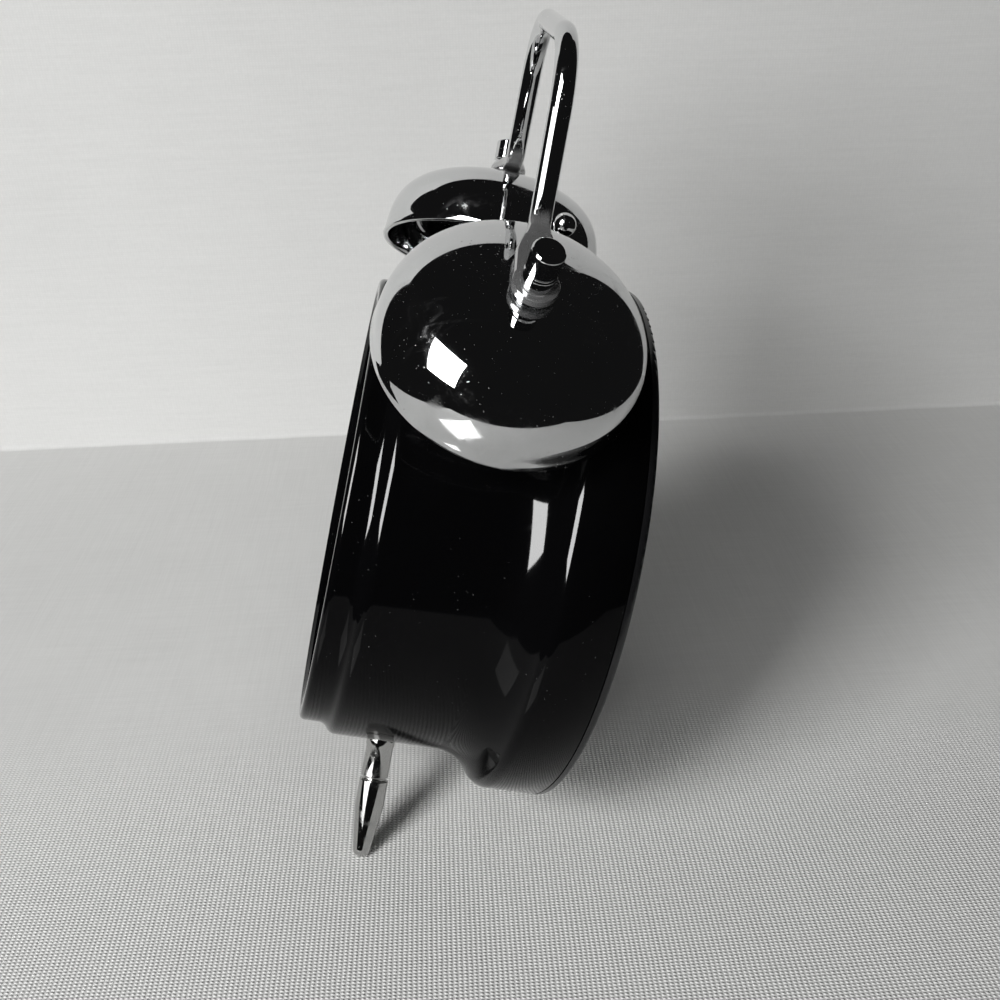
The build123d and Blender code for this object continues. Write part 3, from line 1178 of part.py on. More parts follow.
with BuildPart() as quartz_crystal:
    with BuildSketch(lying(CRYSTAL_X, CRYSTAL_V, BOARD_BACK + SEAT_GAP + CRYSTAL_RADIUS)) as face:
        Circle(CRYSTAL_RADIUS)
    extrude(face.sketch, amount=CRYSTAL_LENGTH)
save(quartz_crystal, "quartz_crystal")

# Hammer: pivot, lever with ferrule and fork, rod and ball
PIVOT_V = HAMMER_PIVOT_HEIGHT
LEVER_FRONT = HAMMER_DEPTH - LEVER_THICKNESS / 2
LEVER_BACK = HAMMER_DEPTH + LEVER_THICKNESS / 2
HUB_FRONT = MOVEMENT_BACK + 0.3
HUB_BACK = LEVER_BACK + 0.5
FERRULE_START = PIVOT_V + 3.2
ROD_START = FERRULE_START + 1.0
FORK_TOP = RINGER_HEIGHT + CRANK_THROW + CRANK_RADIUS + HOLE_GAP
FORK_BOTTOM = RINGER_HEIGHT - CRANK_THROW - CRANK_RADIUS - 1.2

with BuildPart() as hammer_pivot:
    disc(PIVOT_RADIUS, MOVEMENT_PLATE + 0.2, HUB_BACK + RUN_GAP + 0.1, v=PIVOT_V)
    disc(PIVOT_HEAD_RADIUS, HUB_BACK + RUN_GAP, HUB_BACK + RUN_GAP + PIVOT_HEAD, v=PIVOT_V)
save(hammer_pivot, "hammer_pivot")

with BuildPart() as hammer_lever:
    with BuildSketch(level(LEVER_BACK, 0, PIVOT_V)) as face:
        Circle(LEVER_WIDTH / 2)
        with BuildLine():
            Polyline(
                (-1.8, 4.6),
                (1.8, 4.6),
                (LEVER_WIDTH / 2, 0),
                (LEVER_WIDTH / 2, FORK_BOTTOM - PIVOT_V),
                (-LEVER_WIDTH / 2, FORK_BOTTOM - PIVOT_V),
                (-LEVER_WIDTH / 2, 0),
                close=True,
            )
        make_face()
    extrude(face.sketch, amount=LEVER_THICKNESS)
    with BuildSketch(level(LEVER_BACK + 1, 0, FORK_TOP - 10)) as fork:
        with Locations((0, 10 - CRANK_RADIUS)):
            Circle(CRANK_RADIUS + FIT_GAP)
        with Locations((0, -CRANK_RADIUS)):
            Rectangle(2 * (CRANK_RADIUS + FIT_GAP), 20)
    extrude(fork.sketch, amount=LEVER_THICKNESS + 2, mode=Mode.SUBTRACT)
    disc(LEVER_WIDTH / 2 - 0.6, HUB_FRONT, HUB_BACK, v=PIVOT_V)
    with BuildSketch(Plane(origin=point(0, FERRULE_START, HAMMER_DEPTH), x_dir=RIGHT, z_dir=UP)) as ferrule:
        Circle(FERRULE_RADIUS)
    extrude(ferrule.sketch, amount=FERRULE_LENGTH)
    with BuildSketch(Plane(origin=point(0, ROD_START, HAMMER_DEPTH), x_dir=RIGHT, z_dir=UP)) as socket:
        Circle(ROD_RADIUS + SEAT_GAP)
    extrude(socket.sketch, amount=FERRULE_LENGTH, mode=Mode.SUBTRACT)
    disc(PIVOT_RADIUS + RUN_GAP, HUB_FRONT - 1, HUB_BACK + 1, v=PIVOT_V, mode=Mode.SUBTRACT)
save(hammer_lever, "hammer_lever")

ROD_END = BALL_HEIGHT - BALL_RADIUS + BALL_BORE
with BuildPart() as hammer_rod:
    with BuildSketch(Plane(origin=point(0, ROD_START + SEAT_GAP, HAMMER_DEPTH), x_dir=RIGHT, z_dir=UP)) as face:
        Circle(ROD_RADIUS)
    extrude(face.sketch, amount=ROD_END - ROD_START - SEAT_GAP)
save(hammer_rod, "hammer_rod")

with BuildPart() as hammer_ball:
    ball_plane = Plane(origin=point(0, BALL_HEIGHT, HAMMER_DEPTH), x_dir=RIGHT, z_dir=FRONT)
    with BuildSketch(ball_plane) as face:
        with BuildLine():
            CenterArc((0, 0), BALL_RADIUS, -90, 180)
            Line((0, BALL_RADIUS), (0, -BALL_RADIUS))
        make_face()
    revolve(face.sketch, axis=Axis(ball_plane.origin, UP))
    bore_start = point(0, BALL_HEIGHT - 2 * BALL_RADIUS, HAMMER_DEPTH)
    with BuildSketch(Plane(origin=bore_start, x_dir=RIGHT, z_dir=UP)) as bore:
        Circle(ROD_RADIUS + SEAT_GAP)
    extrude(bore.sketch, amount=BALL_RADIUS + BALL_BORE + SEAT_GAP, mode=Mode.SUBTRACT)
save(hammer_ball, "hammer_ball")

# Ringer: bracket on pillars, motor with its pinion, crank wheel on its axle
BRACKET_FRONT = MOVEMENT_BACK + BRACKET_STAND
BRACKET_BACK = BRACKET_FRONT + BRACKET_THICKNESS
RINGER_BACK = BRACKET_FRONT - 0.4
RINGER_FRONT = RINGER_BACK - RINGER_THICKNESS
BRACKET_PILLARS = ((13.0, 26.0), (-13.0, 26.0), (0, -1.0))
MOTOR_PHASE = meshed(0, RINGER_TEETH, MOTOR_PINION_TEETH, 90)

with BuildPart() as ringer_bracket:
    bracket_middle = (BRACKET_TOP + BRACKET_BOTTOM) / 2
    slab(BRACKET_WIDTH, BRACKET_TOP - BRACKET_BOTTOM, BRACKET_FRONT, BRACKET_BACK, v=bracket_middle, corner=2)
    for x, v in BRACKET_PILLARS:
        disc(PILLAR_RADIUS, MOVEMENT_BACK + SEAT_GAP, BRACKET_FRONT + 0.2, x=x, v=v)
    for x, v in (ALARM_KNOB_AT, TIME_KNOB_AT):
        disc(SHAFT_HOLE + HOLE_GAP, BRACKET_FRONT - 1, BRACKET_BACK + 1, x=x, v=v, mode=Mode.SUBTRACT)
    disc(PIVOT_RADIUS + SEAT_GAP, BRACKET_FRONT - 1, BRACKET_BACK + 1, v=RINGER_HEIGHT, mode=Mode.SUBTRACT)
    disc(MOTOR_SHAFT_RADIUS + HOLE_GAP, BRACKET_FRONT - 1, BRACKET_BACK + 1, v=MOTOR_AT[1], mode=Mode.SUBTRACT)
save(ringer_bracket, "ringer_bracket")

with BuildPart() as ringer_axle:
    disc(PIVOT_RADIUS, RINGER_FRONT - RUN_GAP - 0.1, BRACKET_BACK, v=RINGER_HEIGHT)
    disc(PIVOT_HEAD_RADIUS, RINGER_FRONT - RUN_GAP - PIVOT_HEAD, RINGER_FRONT - RUN_GAP, v=RINGER_HEIGHT)
save(ringer_axle, "ringer_axle")

with BuildPart() as ringer_gear:
    wheel(RINGER_TEETH, RINGER_MODULE, RINGER_FRONT, RINGER_BACK, at=(0, RINGER_HEIGHT), bore=PIVOT_RADIUS + RUN_GAP)
    disc(CRANK_RADIUS, LEVER_BACK + 0.3, RINGER_FRONT + 0.2, v=RINGER_HEIGHT + CRANK_THROW)
save(ringer_gear, "ringer_gear")

with BuildPart() as alarm_motor:
    disc(MOTOR_RADIUS, BRACKET_BACK + SEAT_GAP, BRACKET_BACK + SEAT_GAP + MOTOR_LENGTH, v=MOTOR_AT[1])
    fillet(alarm_motor.edges().filter_by(GeomType.CIRCLE), 0.6)
    disc(MOTOR_SHAFT_RADIUS + SEAT_GAP, BRACKET_BACK - 1, BRACKET_BACK + 4, v=MOTOR_AT[1], mode=Mode.SUBTRACT)
save(alarm_motor, "alarm_motor")

with BuildPart() as motor_pinion:
    disc(MOTOR_SHAFT_RADIUS, RINGER_FRONT - 0.2, BRACKET_BACK + 3.8, v=MOTOR_AT[1])
    wheel(
        MOTOR_PINION_TEETH,
        RINGER_MODULE,
        RINGER_FRONT - PINION_OVERHANG,
        RINGER_BACK + PINION_OVERHANG,
        at=MOTOR_AT,
        phase=MOTOR_PHASE,
    )
save(motor_pinion, "motor_pinion")

# Alarm switch: a slider in the cover's slot
with BuildPart() as alarm_switch:
    slab(SWITCH_STEM, SWITCH_STEM_HEIGHT, COVER_FRONT - 0.5, COVER_BACK + 0.5, x=SWITCH_START, v=-SWITCH_DROP)
    slab(12, 6, COVER_FRONT - 1.1, COVER_FRONT - FIT_GAP, x=SWITCH_START, v=-SWITCH_DROP, corner=0.8)
    slab(6.4, 5, COVER_BACK + FIT_GAP, COVER_BACK + FIT_GAP + 1.4, x=SWITCH_START, v=-SWITCH_DROP, corner=0.8)
save(alarm_switch, "alarm_switch")
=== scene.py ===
import json
from math import acos, cos, pi, radians, sin, sqrt, tan

import bmesh
import bpy
from bpy.props import FloatProperty, FloatVectorProperty, PointerProperty
from bpy.types import Operator, Panel, PropertyGroup
from mathutils import Matrix, Vector


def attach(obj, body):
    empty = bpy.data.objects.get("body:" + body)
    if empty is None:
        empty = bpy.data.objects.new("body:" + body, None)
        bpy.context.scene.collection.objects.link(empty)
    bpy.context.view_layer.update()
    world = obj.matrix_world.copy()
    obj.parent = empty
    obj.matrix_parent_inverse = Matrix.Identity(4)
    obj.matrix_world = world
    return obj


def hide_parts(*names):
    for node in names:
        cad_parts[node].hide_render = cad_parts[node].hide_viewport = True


bl_info = {
    "name": "Twin Bell Alarm Clock",
    "version": (1, 0, 0),
    "blender": (4, 5, 0),
    "location": "3D View > Sidebar > Alarm Clock",
    "description": "Dresses a twin bell alarm clock: enamelled case, plated bells, handle and legs, dial",
    "category": "Object",
}

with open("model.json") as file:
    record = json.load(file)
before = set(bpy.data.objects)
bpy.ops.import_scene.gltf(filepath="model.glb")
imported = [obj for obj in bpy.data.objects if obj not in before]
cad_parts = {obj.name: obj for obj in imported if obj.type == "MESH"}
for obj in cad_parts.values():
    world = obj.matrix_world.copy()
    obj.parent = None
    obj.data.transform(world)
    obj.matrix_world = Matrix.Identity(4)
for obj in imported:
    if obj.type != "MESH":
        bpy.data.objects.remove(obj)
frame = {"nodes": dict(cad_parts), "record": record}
BODIES = frame["record"]["behaviour"]["bodies"]
BODY_OF = {node: body for body, nodes in BODIES.items() for node in nodes}
SLOT_OF = {entry["node"]: entry["material_slot"] for entry in frame["record"]["subparts"]}
MM = 0.001
RIGHT = Vector((1, 0, 0))
SIDES = ((1, "right"), (-1, "left"))

# Sizes that more than one piece needs, in millimetres
GAP = 0.05
STUD_DEPTH = 5.4
WASHER_THICKNESS = 0.6
EDGE_CHAMFER = 0.3
ROD_RADIUS = 0.8

# Marks of the minute track: width and length, in millimetres
HOUR_MARK = (0.9, 3.0)
MINUTE_MARK = (0.3, 1.6)

# Heights and pitches in materials, in metres
FORGED_BELOW = 0.1185
FORGED_BLEND = 0.001
WEFT_PITCH = 0.00063
WARP_PITCH = 0.00086
WIRE_PITCH = 0.00016

# Lamps, in metres: place, aim, width, height, roll in degrees, and the rays that miss them
NEAR_BELL = (0.026, 0.005, 0.105)
WINDOW_PLACE = (0.693, -0.574, 0.761)
LAMPS = {
    "window": ((0.659, -0.651, 0.720), NEAR_BELL, 0.36, 0.44, 0, "glossy"),
    "glint": (WINDOW_PLACE, NEAR_BELL, 0.5, 0.76, -14.5, "diffuse"),
    "sheen": (WINDOW_PLACE, NEAR_BELL, 0.5, 0.76, -14.5, "diffuse"),
    "strip": ((0.641, -0.870, 0.335), (0.022, 0.015, 0.1), 1.0, 0.3, 0, "diffuse"),
    "low_side": ((0.68, -0.5, 0.2), (0, 0, 0.05), 0.5, 0.25, 0, "glossy"),
}

# Lamps that light only some pieces, or all but some
RECEIVERS = {
    "strip": ("INCLUDE", "handle_wire", "leg_turned_right", "leg_turned_left"),
    "sheen": ("INCLUDE", "case_sheet"),
    "glint": ("EXCLUDE", "case_sheet"),
}

# The glowing sheet beside the clock, whose own emission paints a reflection in the bell, in metres, and
# the colour of the dark room
PAINTED_GLOW_CORNERS = [(0.089, -0.124), (0.219, -0.105), (0.114, -0.039), (0.072, -0.060)]
PAINTED_GLOW_HEIGHT = 0.0002
ROOM_COLOUR = (0.008, 0.008, 0.0082, 1)

# Nodes that have a modelled piece of their own
MODELLED = (
    "case_shell", "bell_right", "bell_left", "bell_post_right", "bell_post_left", "bell_washers",
    "cap_nut_right", "cap_nut_left", "handle", "leg_right", "leg_left", "hammer_ball", "hammer_rod",
)


def size(name, words, value, low=0.0, high=400.0):
    """A size that the panel can change, in millimetres unless its words say otherwise."""
    return FloatProperty(name=name, description=words, default=value, min=low, max=high)


def colour(name, words, value):
    return FloatVectorProperty(
        name=name, description=words, default=value, size=4, min=0, max=1, subtype="COLOR"
    )


def power(name, words, value):
    return FloatProperty(name=name, description=words, default=value, min=0, unit="POWER")


def rotation(name, words, value):
    return FloatProperty(name=name, description=words, default=value, unit="ROTATION")


class CaseSettings(PropertyGroup):
    """Sizes of the leaning drum, in millimetres."""

    lean: size("Lean", "How far the case leans back, in degrees", 15.2)
    depth: size("Depth", "From the front edge to the back of the rear rim", 46.0)
    front_radius: size("Front radius", "Outer radius of the band round the dial", 42.1)
    middle_radius: size("Middle radius", "Outer radius of the drum's middle", 43.9)
    rear_radius: size("Rear radius", "Outer radius of the wide rear band", 49.7)
    front_band: size("Front band", "Width of the front band", 3.6)
    front_step: size("Front step", "Width of the curve up to the middle", 3.3)
    rear_step_start: size("Rear step", "Depth at which the rear curve starts", 25.7)
    rear_hollow: size("Rear hollow", "Radius of the hollow curve in front of the rear band", 9.0)
    rear_crown: size("Rear crown", "Radius of the round shoulder of the rear band", 2.6)
    wall: size("Wall", "Thickness of the sheet", 0.9)
    lip: size("Lip", "Width of the front lip", 2.6)
    rounding: size("Front rounding", "Radius of the front edge", 1.0)
    rim: size("Rim", "Thickness of the rear cover's rim", 1.4)
    enamel: colour("Enamel", "Colour of the case", (0.0015, 0.0015, 0.0017, 1))


class BellSettings(PropertyGroup):
    """Sizes of the bells, their posts and nuts, in millimetres."""

    angle: size("Angle", "Degrees from the top to each bell", 30.0)
    depth: size("Depth", "Depth of the posts behind the front edge", 20.3)
    reach: size("Reach", "From the case's axis to the rim's plane", 51.8)
    radius: size("Radius", "Outer radius of the rim", 20.9)
    height: size("Height", "From the rim to the crown", 14.4)
    wall: size("Wall", "Thickness of the bell", 1.0)
    fullness: size("Fullness", "Power of the dome's curve: 2 is round, more is fuller", 2.88)
    flare: size("Flare", "How far the rim turns outwards", 0.35)
    flare_height: size("Flare height", "Height over which the rim turns outwards", 2.6)
    post_radius: size("Stud", "Radius of the stud", 1.4)
    stem_radius: size("Stem", "Radius of the post's stem", 2.0)
    collar_radius: size("Collar", "Radius of the post's collars", 3.2)
    washer_radius: size("Washer", "Radius of the washer on the bell", 2.9)
    nut_radius: size("Cap nut", "Radius of the cap nut", 2.45)
    nut_height: size("Cap nut height", "Height of the cap nut", 6.6)
    plating: colour("Plating", "Colour of the bright plating", (0.66, 0.665, 0.67, 1))


class HandleSettings(PropertyGroup):
    """Sizes of the wire handle, in millimetres."""

    wire: size("Wire radius", "Radius of the round wire", 1.7)
    top: size("Top", "Height of the wire's middle above the dial's centre", 89.3)
    shoulder: size("Shoulder", "Half the width at the top", 20.3)
    shoulder_bend: size("Shoulder bend", "Radius of the upper bends", 11.0)
    corner: size("Corner", "From the eye to the lower bend", 12.0)
    corner_bend: size("Corner bend", "Radius of the lower bends", 3.2)
    tilt: size("Tilt", "Degrees that the handle tips forward", 3.0)
    flat: size("Flat", "From the eye to where the wire starts to thicken", 7.0)
    taper: size("Taper", "Length over which the flattened wire thickens", 9.0)
    spread: size("Spread", "Half the width of the flattened end", 3.3)
    spread_start: size("Spread start", "From the eye to where the full width ends", 5.0)
    spread_length: size("Spread length", "Length over which the flattened end narrows", 6.5)
    eye_radius: size("Eye", "Radius of the eye", 3.5)
    eye_thickness: size("Eye thickness", "Thickness of the flattened eye", 1.3)


class LegSettings(PropertyGroup):
    """Sizes of the turned legs and the hammer, in millimetres."""

    angle: size("Angle", "Degrees from the top to each leg", 148.7)
    depth: size("Depth", "Depth of the legs behind the front edge", 16.3)
    ring_radius: size("Ring", "Radius of the ring at the case", 2.75)
    radius: size("Radius", "Radius of the upper part", 2.6)
    groove: size("Groove", "From the case's axis to the groove", 51.5)
    taper: size("Taper", "From the case's axis to the start of the taper", 57.2)
    tip_radius: size("Tip", "Radius of the rounded tip", 1.7)
    ball_radius: size("Hammer ball", "Radius of the hammer's ball", 2.0)
    ball_height: size("Hammer height", "Height of the ball above the dial's centre", 60.1)
    hammer_depth: size("Hammer depth", "Depth of the hammer's rod", 28.3)
    pivot_height: size("Hammer pivot", "Height of the hammer's pivot above the dial's centre", 24.0)
    swing: size("Hammer swing", "Degrees that the hammer swings to either side", 14.5)


class DialSettings(PropertyGroup):
    """Sizes of the dial's print, in millimetres."""

    numeral_height: size("Numerals", "Height of the numerals", 7.4)
    level: size("Level", "Depth of the dial's face behind the front edge", 11.0)
    numeral_circle: size("Numeral circle", "Radius of the circle of numerals", 27.5)
    track_outer: size("Track", "Outer radius of the minute track", 35.8)
    print_height: size("Print", "Thickness of the print", 0.05)
    ink: colour("Ink", "Colour of the print", (0.01, 0.01, 0.01, 1))
    paper: colour("Dial", "Colour of the dial", (0.6, 0.595, 0.57, 1))


class StageSettings(PropertyGroup):
    """The cloth, the lights and the camera."""

    wall_distance: size("Wall", "From the clock to the upright part of the cloth", 152.0)
    cloth_near: size("Near edge", "From the clock to the cloth's near edge", 250.0, high=2000)
    cloth_width: size("Cloth width", "Width of the cloth", 440.0, high=4000)
    cloth_height: size("Cloth height", "Height of the upright part of the cloth", 375.0, high=4000)
    cloth: colour("Cloth", "Colour of the cloth", (0.6, 0.6, 0.59, 1))
    window_power: power("Window", "Power of the window light", 11.0)
    glint_power: power("Glint", "Power of the window as metal reflects it", 20.0)
    sheen_power: power("Sheen", "Power of the window as the enamel reflects it", 110.0)
    strip_power: power("Strip", "Power of the window's low part on the handle and legs", 3.0)
    low_side_power: power("Side", "Power of the low soft light", 4.3)
    camera_place: FloatVectorProperty(
        name="Camera", description="Place of the camera, in millimetres",
        default=(171.94, -1.1385, 155.7805), size=3,
    )
    camera_yaw: rotation("Yaw", "Turn from straight along -X", -0.05178)
    camera_pitch: rotation("Pitch", "Tilt from level", -0.51909)
    camera_roll: rotation("Roll", "Roll about the view", -0.0238)
    lens: size("Lens", "Focal length on a 36 mm sensor", 36.655)


def settings(name):
    """One of the scene's groups of settings."""
    return getattr(bpy.context.scene, name)


# Places on the leaning case
def directions():
    """The directions straight out of the dial and up along it."""
    lean = radians(settings("clock_case").lean)
    front = Vector((0, -cos(lean), sin(lean)))
    up = Vector((0, sin(lean), cos(lean)))
    return front, up


def place(x, v, depth, rear_edge=0.7):
    """A point given to the right, up the dial and behind the front edge, in millimetres.

    The clock stands on its legs and on the rounded lower edge of its rear band, and its depth
    over the ground is centred.
    """
    case = settings("clock_case")
    lean, round_front = radians(case.lean), case.rounding
    rear, far = case.rear_radius - rear_edge, case.depth - rear_edge
    height = rear * cos(lean) + far * sin(lean) + rear_edge
    reach_front = (case.front_radius - round_front) * sin(lean) - round_front * cos(lean) + round_front
    reach_back = rear * sin(lean) + far * cos(lean) + rear_edge
    centre = Vector((0, (reach_front - reach_back) / 2, height))
    front, up = directions()
    return (centre + RIGHT * x + up * v - front * depth) * MM


def axes(origin, x_dir, z_dir):
    """The matrix that carries a piece modelled at the origin to its place."""
    y_dir = z_dir.cross(x_dir)
    turn = Matrix((x_dir, y_dir, z_dir)).transposed().to_4x4()
    return Matrix.Translation(origin) @ turn


def facing(x, v, depth):
    """A place on the dial's side whose Z looks to the front."""
    front, _ = directions()
    return axes(place(x, v, depth), RIGHT, front)


def spoke(angle, depth):
    """A place on the case's axis whose Z runs out along a post or leg."""
    _, up = directions()
    angle = radians(angle)
    out = RIGHT * sin(angle) + up * cos(angle)
    across = RIGHT * cos(angle) - up * sin(angle)
    return axes(place(0, 0, depth), across, out)


# Modelling
def linked(name, data):
    """A new object in the scene."""
    item = bpy.data.objects.new(name, data)
    bpy.context.scene.collection.objects.link(item)
    return item


def final_mesh(item):
    """A mesh of an object's shape with its modifiers applied."""
    bpy.context.view_layer.update()
    graph = bpy.context.evaluated_depsgraph_get()
    return bpy.data.meshes.new_from_object(item.evaluated_get(graph))


def pour(bm, item, matrix):
    """Adds the mesh of a curve or text to a bmesh, and deletes the object."""
    mesh, curve = final_mesh(item), item.data
    mesh.transform(matrix)
    bm.from_mesh(mesh)
    bpy.data.objects.remove(item)
    bpy.data.curves.remove(curve)
    bpy.data.meshes.remove(mesh)


def verts_in(made):
    """The vertices among what a bmesh operator made."""
    return [part for part in made["geom"] if isinstance(part, bmesh.types.BMVert)]


def smooth_piece(name, bm, material, sharp):
    """Turns a bmesh into a smooth object whose edges past an angle stay sharp."""
    for face in bm.faces:
        face.smooth = True
    for edge in bm.edges:
        if len(edge.link_faces) == 2 and edge.calc_face_angle(0) > radians(sharp):
            edge.smooth = False
    mesh = bpy.data.meshes.new(name)
    bm.to_mesh(mesh)
    bm.free()
    mesh.materials.append(material)
    return linked(name, mesh)


def finish_piece(name, bm, body, nodes, look, slot=None, sharp=35.0):
    """A smooth piece that rides on a body and stands for CAD nodes."""
    piece = smooth_piece(name, bm, finish(look), sharp)
    slot = slot or look
    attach(piece, body)
    if nodes:
        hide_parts(*nodes)
    return piece


def turned(bm, outline, matrix, segments=96, rounding=0.0, closed=True):
    """Rounds an outline of (radius, height) in millimetres, spins it about Z, and places it.

    The vertices that it adds are tagged, so that a bmesh can take more than one turned shape.
    """
    if rounding:
        outline = softened(outline, rounding, closed)
    points = [bm.verts.new((r * MM, 0, h * MM)) for r, h in outline]
    edges = [bm.edges.new(pair) for pair in zip(points, points[1:])]
    if closed:
        edges.append(bm.edges.new((points[-1], points[0])))
    bmesh.ops.spin(
        bm, geom=points + edges, cent=(0, 0, 0), axis=(0, 0, 1), angle=2 * pi, steps=segments,
        use_merge=True,
    )

    def fresh(parts):
        return [part for part in parts if not part.verts[0].tag]

    bmesh.ops.remove_doubles(bm, verts=[v for v in bm.verts if not v.tag], dist=1e-7)
    bmesh.ops.dissolve_degenerate(bm, dist=1e-8, edges=fresh(bm.edges))
    bmesh.ops.recalc_face_normals(bm, faces=fresh(bm.faces))
    made = [v for v in bm.verts if not v.tag]
    bmesh.ops.transform(bm, matrix=matrix, verts=made)
    for v in made:
        v.tag = True


def softened(outline, radius, closed, gentle=150, share=0.3, support=1.5, steps=4):
    """An outline whose corners off the axis are rounded, and whose gentle bends stay."""
    points = []
    for number, spot in enumerate(outline):
        here = Vector(spot)
        before = Vector(outline[number - 1]) - here
        after = Vector(outline[(number + 1) % len(outline)]) - here
        end = not closed and number in (0, len(outline) - 1)
        if end or here.x == 0 or before.angle(after) > radians(gentle):
            points.append(here)
            continue
        reach = min(radius, share * before.length, share * after.length)
        start, stop = here + before.normalized() * reach, here + after.normalized() * reach
        points.append(here.lerp(start, support))
        for step in range(steps + 1):
            along = step / steps
            points.append(start.lerp(here, along).lerp(here.lerp(stop, along), along))
        points.append(here.lerp(stop, support))
    return points


def merged_copy(node):
    """A bmesh of a CAD node with its loose triangles joined."""
    bm = bmesh.new()
    bm.from_mesh(frame["nodes"][node].data)
    bmesh.ops.remove_doubles(bm, verts=bm.verts, dist=1e-6)
    return bm


# Shaders
class Value:
    """A shader socket whose arithmetic adds Math nodes."""

    def __init__(self, shader, socket):
        self.shader, self.socket = shader, socket

    def _math(self, operation, first, second=None):
        inputs = {0: first} if second is None else {0: first, 1: second}
        return self.shader.value("ShaderNodeMath", {"operation": operation}, inputs)

    def __add__(self, other):
        return self._math("ADD", self, other)

    def __radd__(self, other):
        return self._math("ADD", other, self)

    def __sub__(self, other):
        return self._math("SUBTRACT", self, other)

    def __rsub__(self, other):
        return self._math("SUBTRACT", other, self)

    def __mul__(self, other):
        return self._math("MULTIPLY", self, other)

    def __rmul__(self, other):
        return self._math("MULTIPLY", other, self)

    def __gt__(self, other):
        return self._math("GREATER_THAN", self, other)

    def clip(self):
        return self.shader.value("ShaderNodeClamp", {}, {"Value": self})

    def wave(self):
        return self._math("SINE", self)

    def ramp(self, low, high, start=0.0, end=1.0):
        """Carries low..high smoothly to start..end, and holds the ends."""
        kind = {"interpolation_type": "SMOOTHSTEP", "clamp": True}
        inputs = {"Value": self, "From Min": low, "From Max": high, "To Min": start, "To Max": end}
        return self.shader.value("ShaderNodeMapRange", kind, inputs)


class Finish:
    """A procedural material on one Principled shader."""

    def __init__(self, name, **constants):
        self.material = bpy.data.materials.new(name)
        self.material.use_nodes = True
        self.tree = self.material.node_tree
        self.shader = self.tree.nodes["Principled BSDF"]
        for key, value in constants.items():
            self.shader.inputs[key.replace("_", " ")].default_value = value
        self.coordinates = self.node("ShaderNodeTexCoord").outputs["Object"]

    def node(self, kind, node_settings=None, inputs=None):
        """Adds any node: its type, its settings, then the values or links of its sockets."""
        made = self.tree.nodes.new(kind)
        for key, value in (node_settings or {}).items():
            setattr(made, key, value)
        for key, value in (inputs or {}).items():
            socket = value.socket if isinstance(value, Value) else value
            if isinstance(socket, bpy.types.NodeSocket):
                self.tree.links.new(socket, made.inputs[key])
            else:
                made.inputs[key].default_value = socket
        return made

    def value(self, kind, node_settings=None, inputs=None, output=0):
        """Adds any node and gives one of its outputs as a value."""
        return Value(self, self.node(kind, node_settings, inputs).outputs[output])

    def moved(self, scale, turned_by=(0, 0, 0)):
        """Object coordinates, stretched and turned."""
        inputs = {"Vector": self.coordinates, "Scale": scale, "Rotation": turned_by}
        return self.node("ShaderNodeMapping", {}, inputs).outputs[0]

    def noise(self, scale, detail=3.0, roughness=0.55, vector=None, distortion=0.0):
        """Soft noise, on the object's coordinates unless others are given."""
        inputs = {"Scale": scale, "Detail": detail, "Roughness": roughness, "Distortion": distortion}
        inputs["Vector"] = vector or self.coordinates
        return self.value("ShaderNodeTexNoise", {}, inputs)

    def cells(self, scale, feature="F1"):
        """Distances in a pattern of cells."""
        inputs = {"Scale": scale, "Vector": self.coordinates}
        return self.value("ShaderNodeTexVoronoi", {"feature": feature}, inputs, "Distance")

    def mix(self, share, first, second):
        """Two colours mixed by a share."""
        inputs = {0: share, 6: first, 7: second}
        return self.node("ShaderNodeMix", {"data_type": "RGBA"}, inputs).outputs[2]

    def parts(self):
        """The object coordinates' three numbers."""
        split = self.node("ShaderNodeSeparateXYZ", {}, {0: self.coordinates})
        return [Value(self, output) for output in split.outputs]

    def set(self, name, value):
        """Links a value or a colour to a socket of the Principled shader."""
        socket = value.socket if isinstance(value, Value) else value
        self.tree.links.new(socket, self.shader.inputs[name])

    def bump(self, height, strength=0.3, distance=0.0001):
        inputs = {"Strength": strength, "Distance": distance, "Height": height}
        self.set("Normal", self.node("ShaderNodeBump", {}, inputs).outputs[0])


def grey(level):
    return (level, level, level, 1)


def shade(base, share):
    """A lighter or darker form of a colour."""
    return tuple(c * share for c in base[:3]) + (1,)


def enamel_finish(name, base):
    """Gloss black enamel: faint ripple, dust specks, hairline rubs."""
    f = Finish(name, Roughness=0.05, IOR=1.17)
    ripple = f.noise(90, 2)
    specks = (f.noise(2400, 1, 0.4) > 0.775) * (f.noise(60, 2) > 0.52)
    rubs = f.noise(900, 2, 0.5, f.moved((1, 0.06, 0.06), (0.3, 0.2, 0.1))).ramp(0.62, 0.74)
    haze = f.noise(22, 4, 0.6).ramp(0.45, 0.75)
    f.set("Roughness", 0.06 + haze * 0.04 + rubs * 0.06 + specks * 0.3)
    f.set("Base Color", f.mix(specks * 0.35 + haze * 0.01, base, grey(0.2)))
    f.bump(ripple * 0.6 + specks * 0.4 + f.noise(420, 2) * 0.06, 0.06, 0.00012)
    return f.material


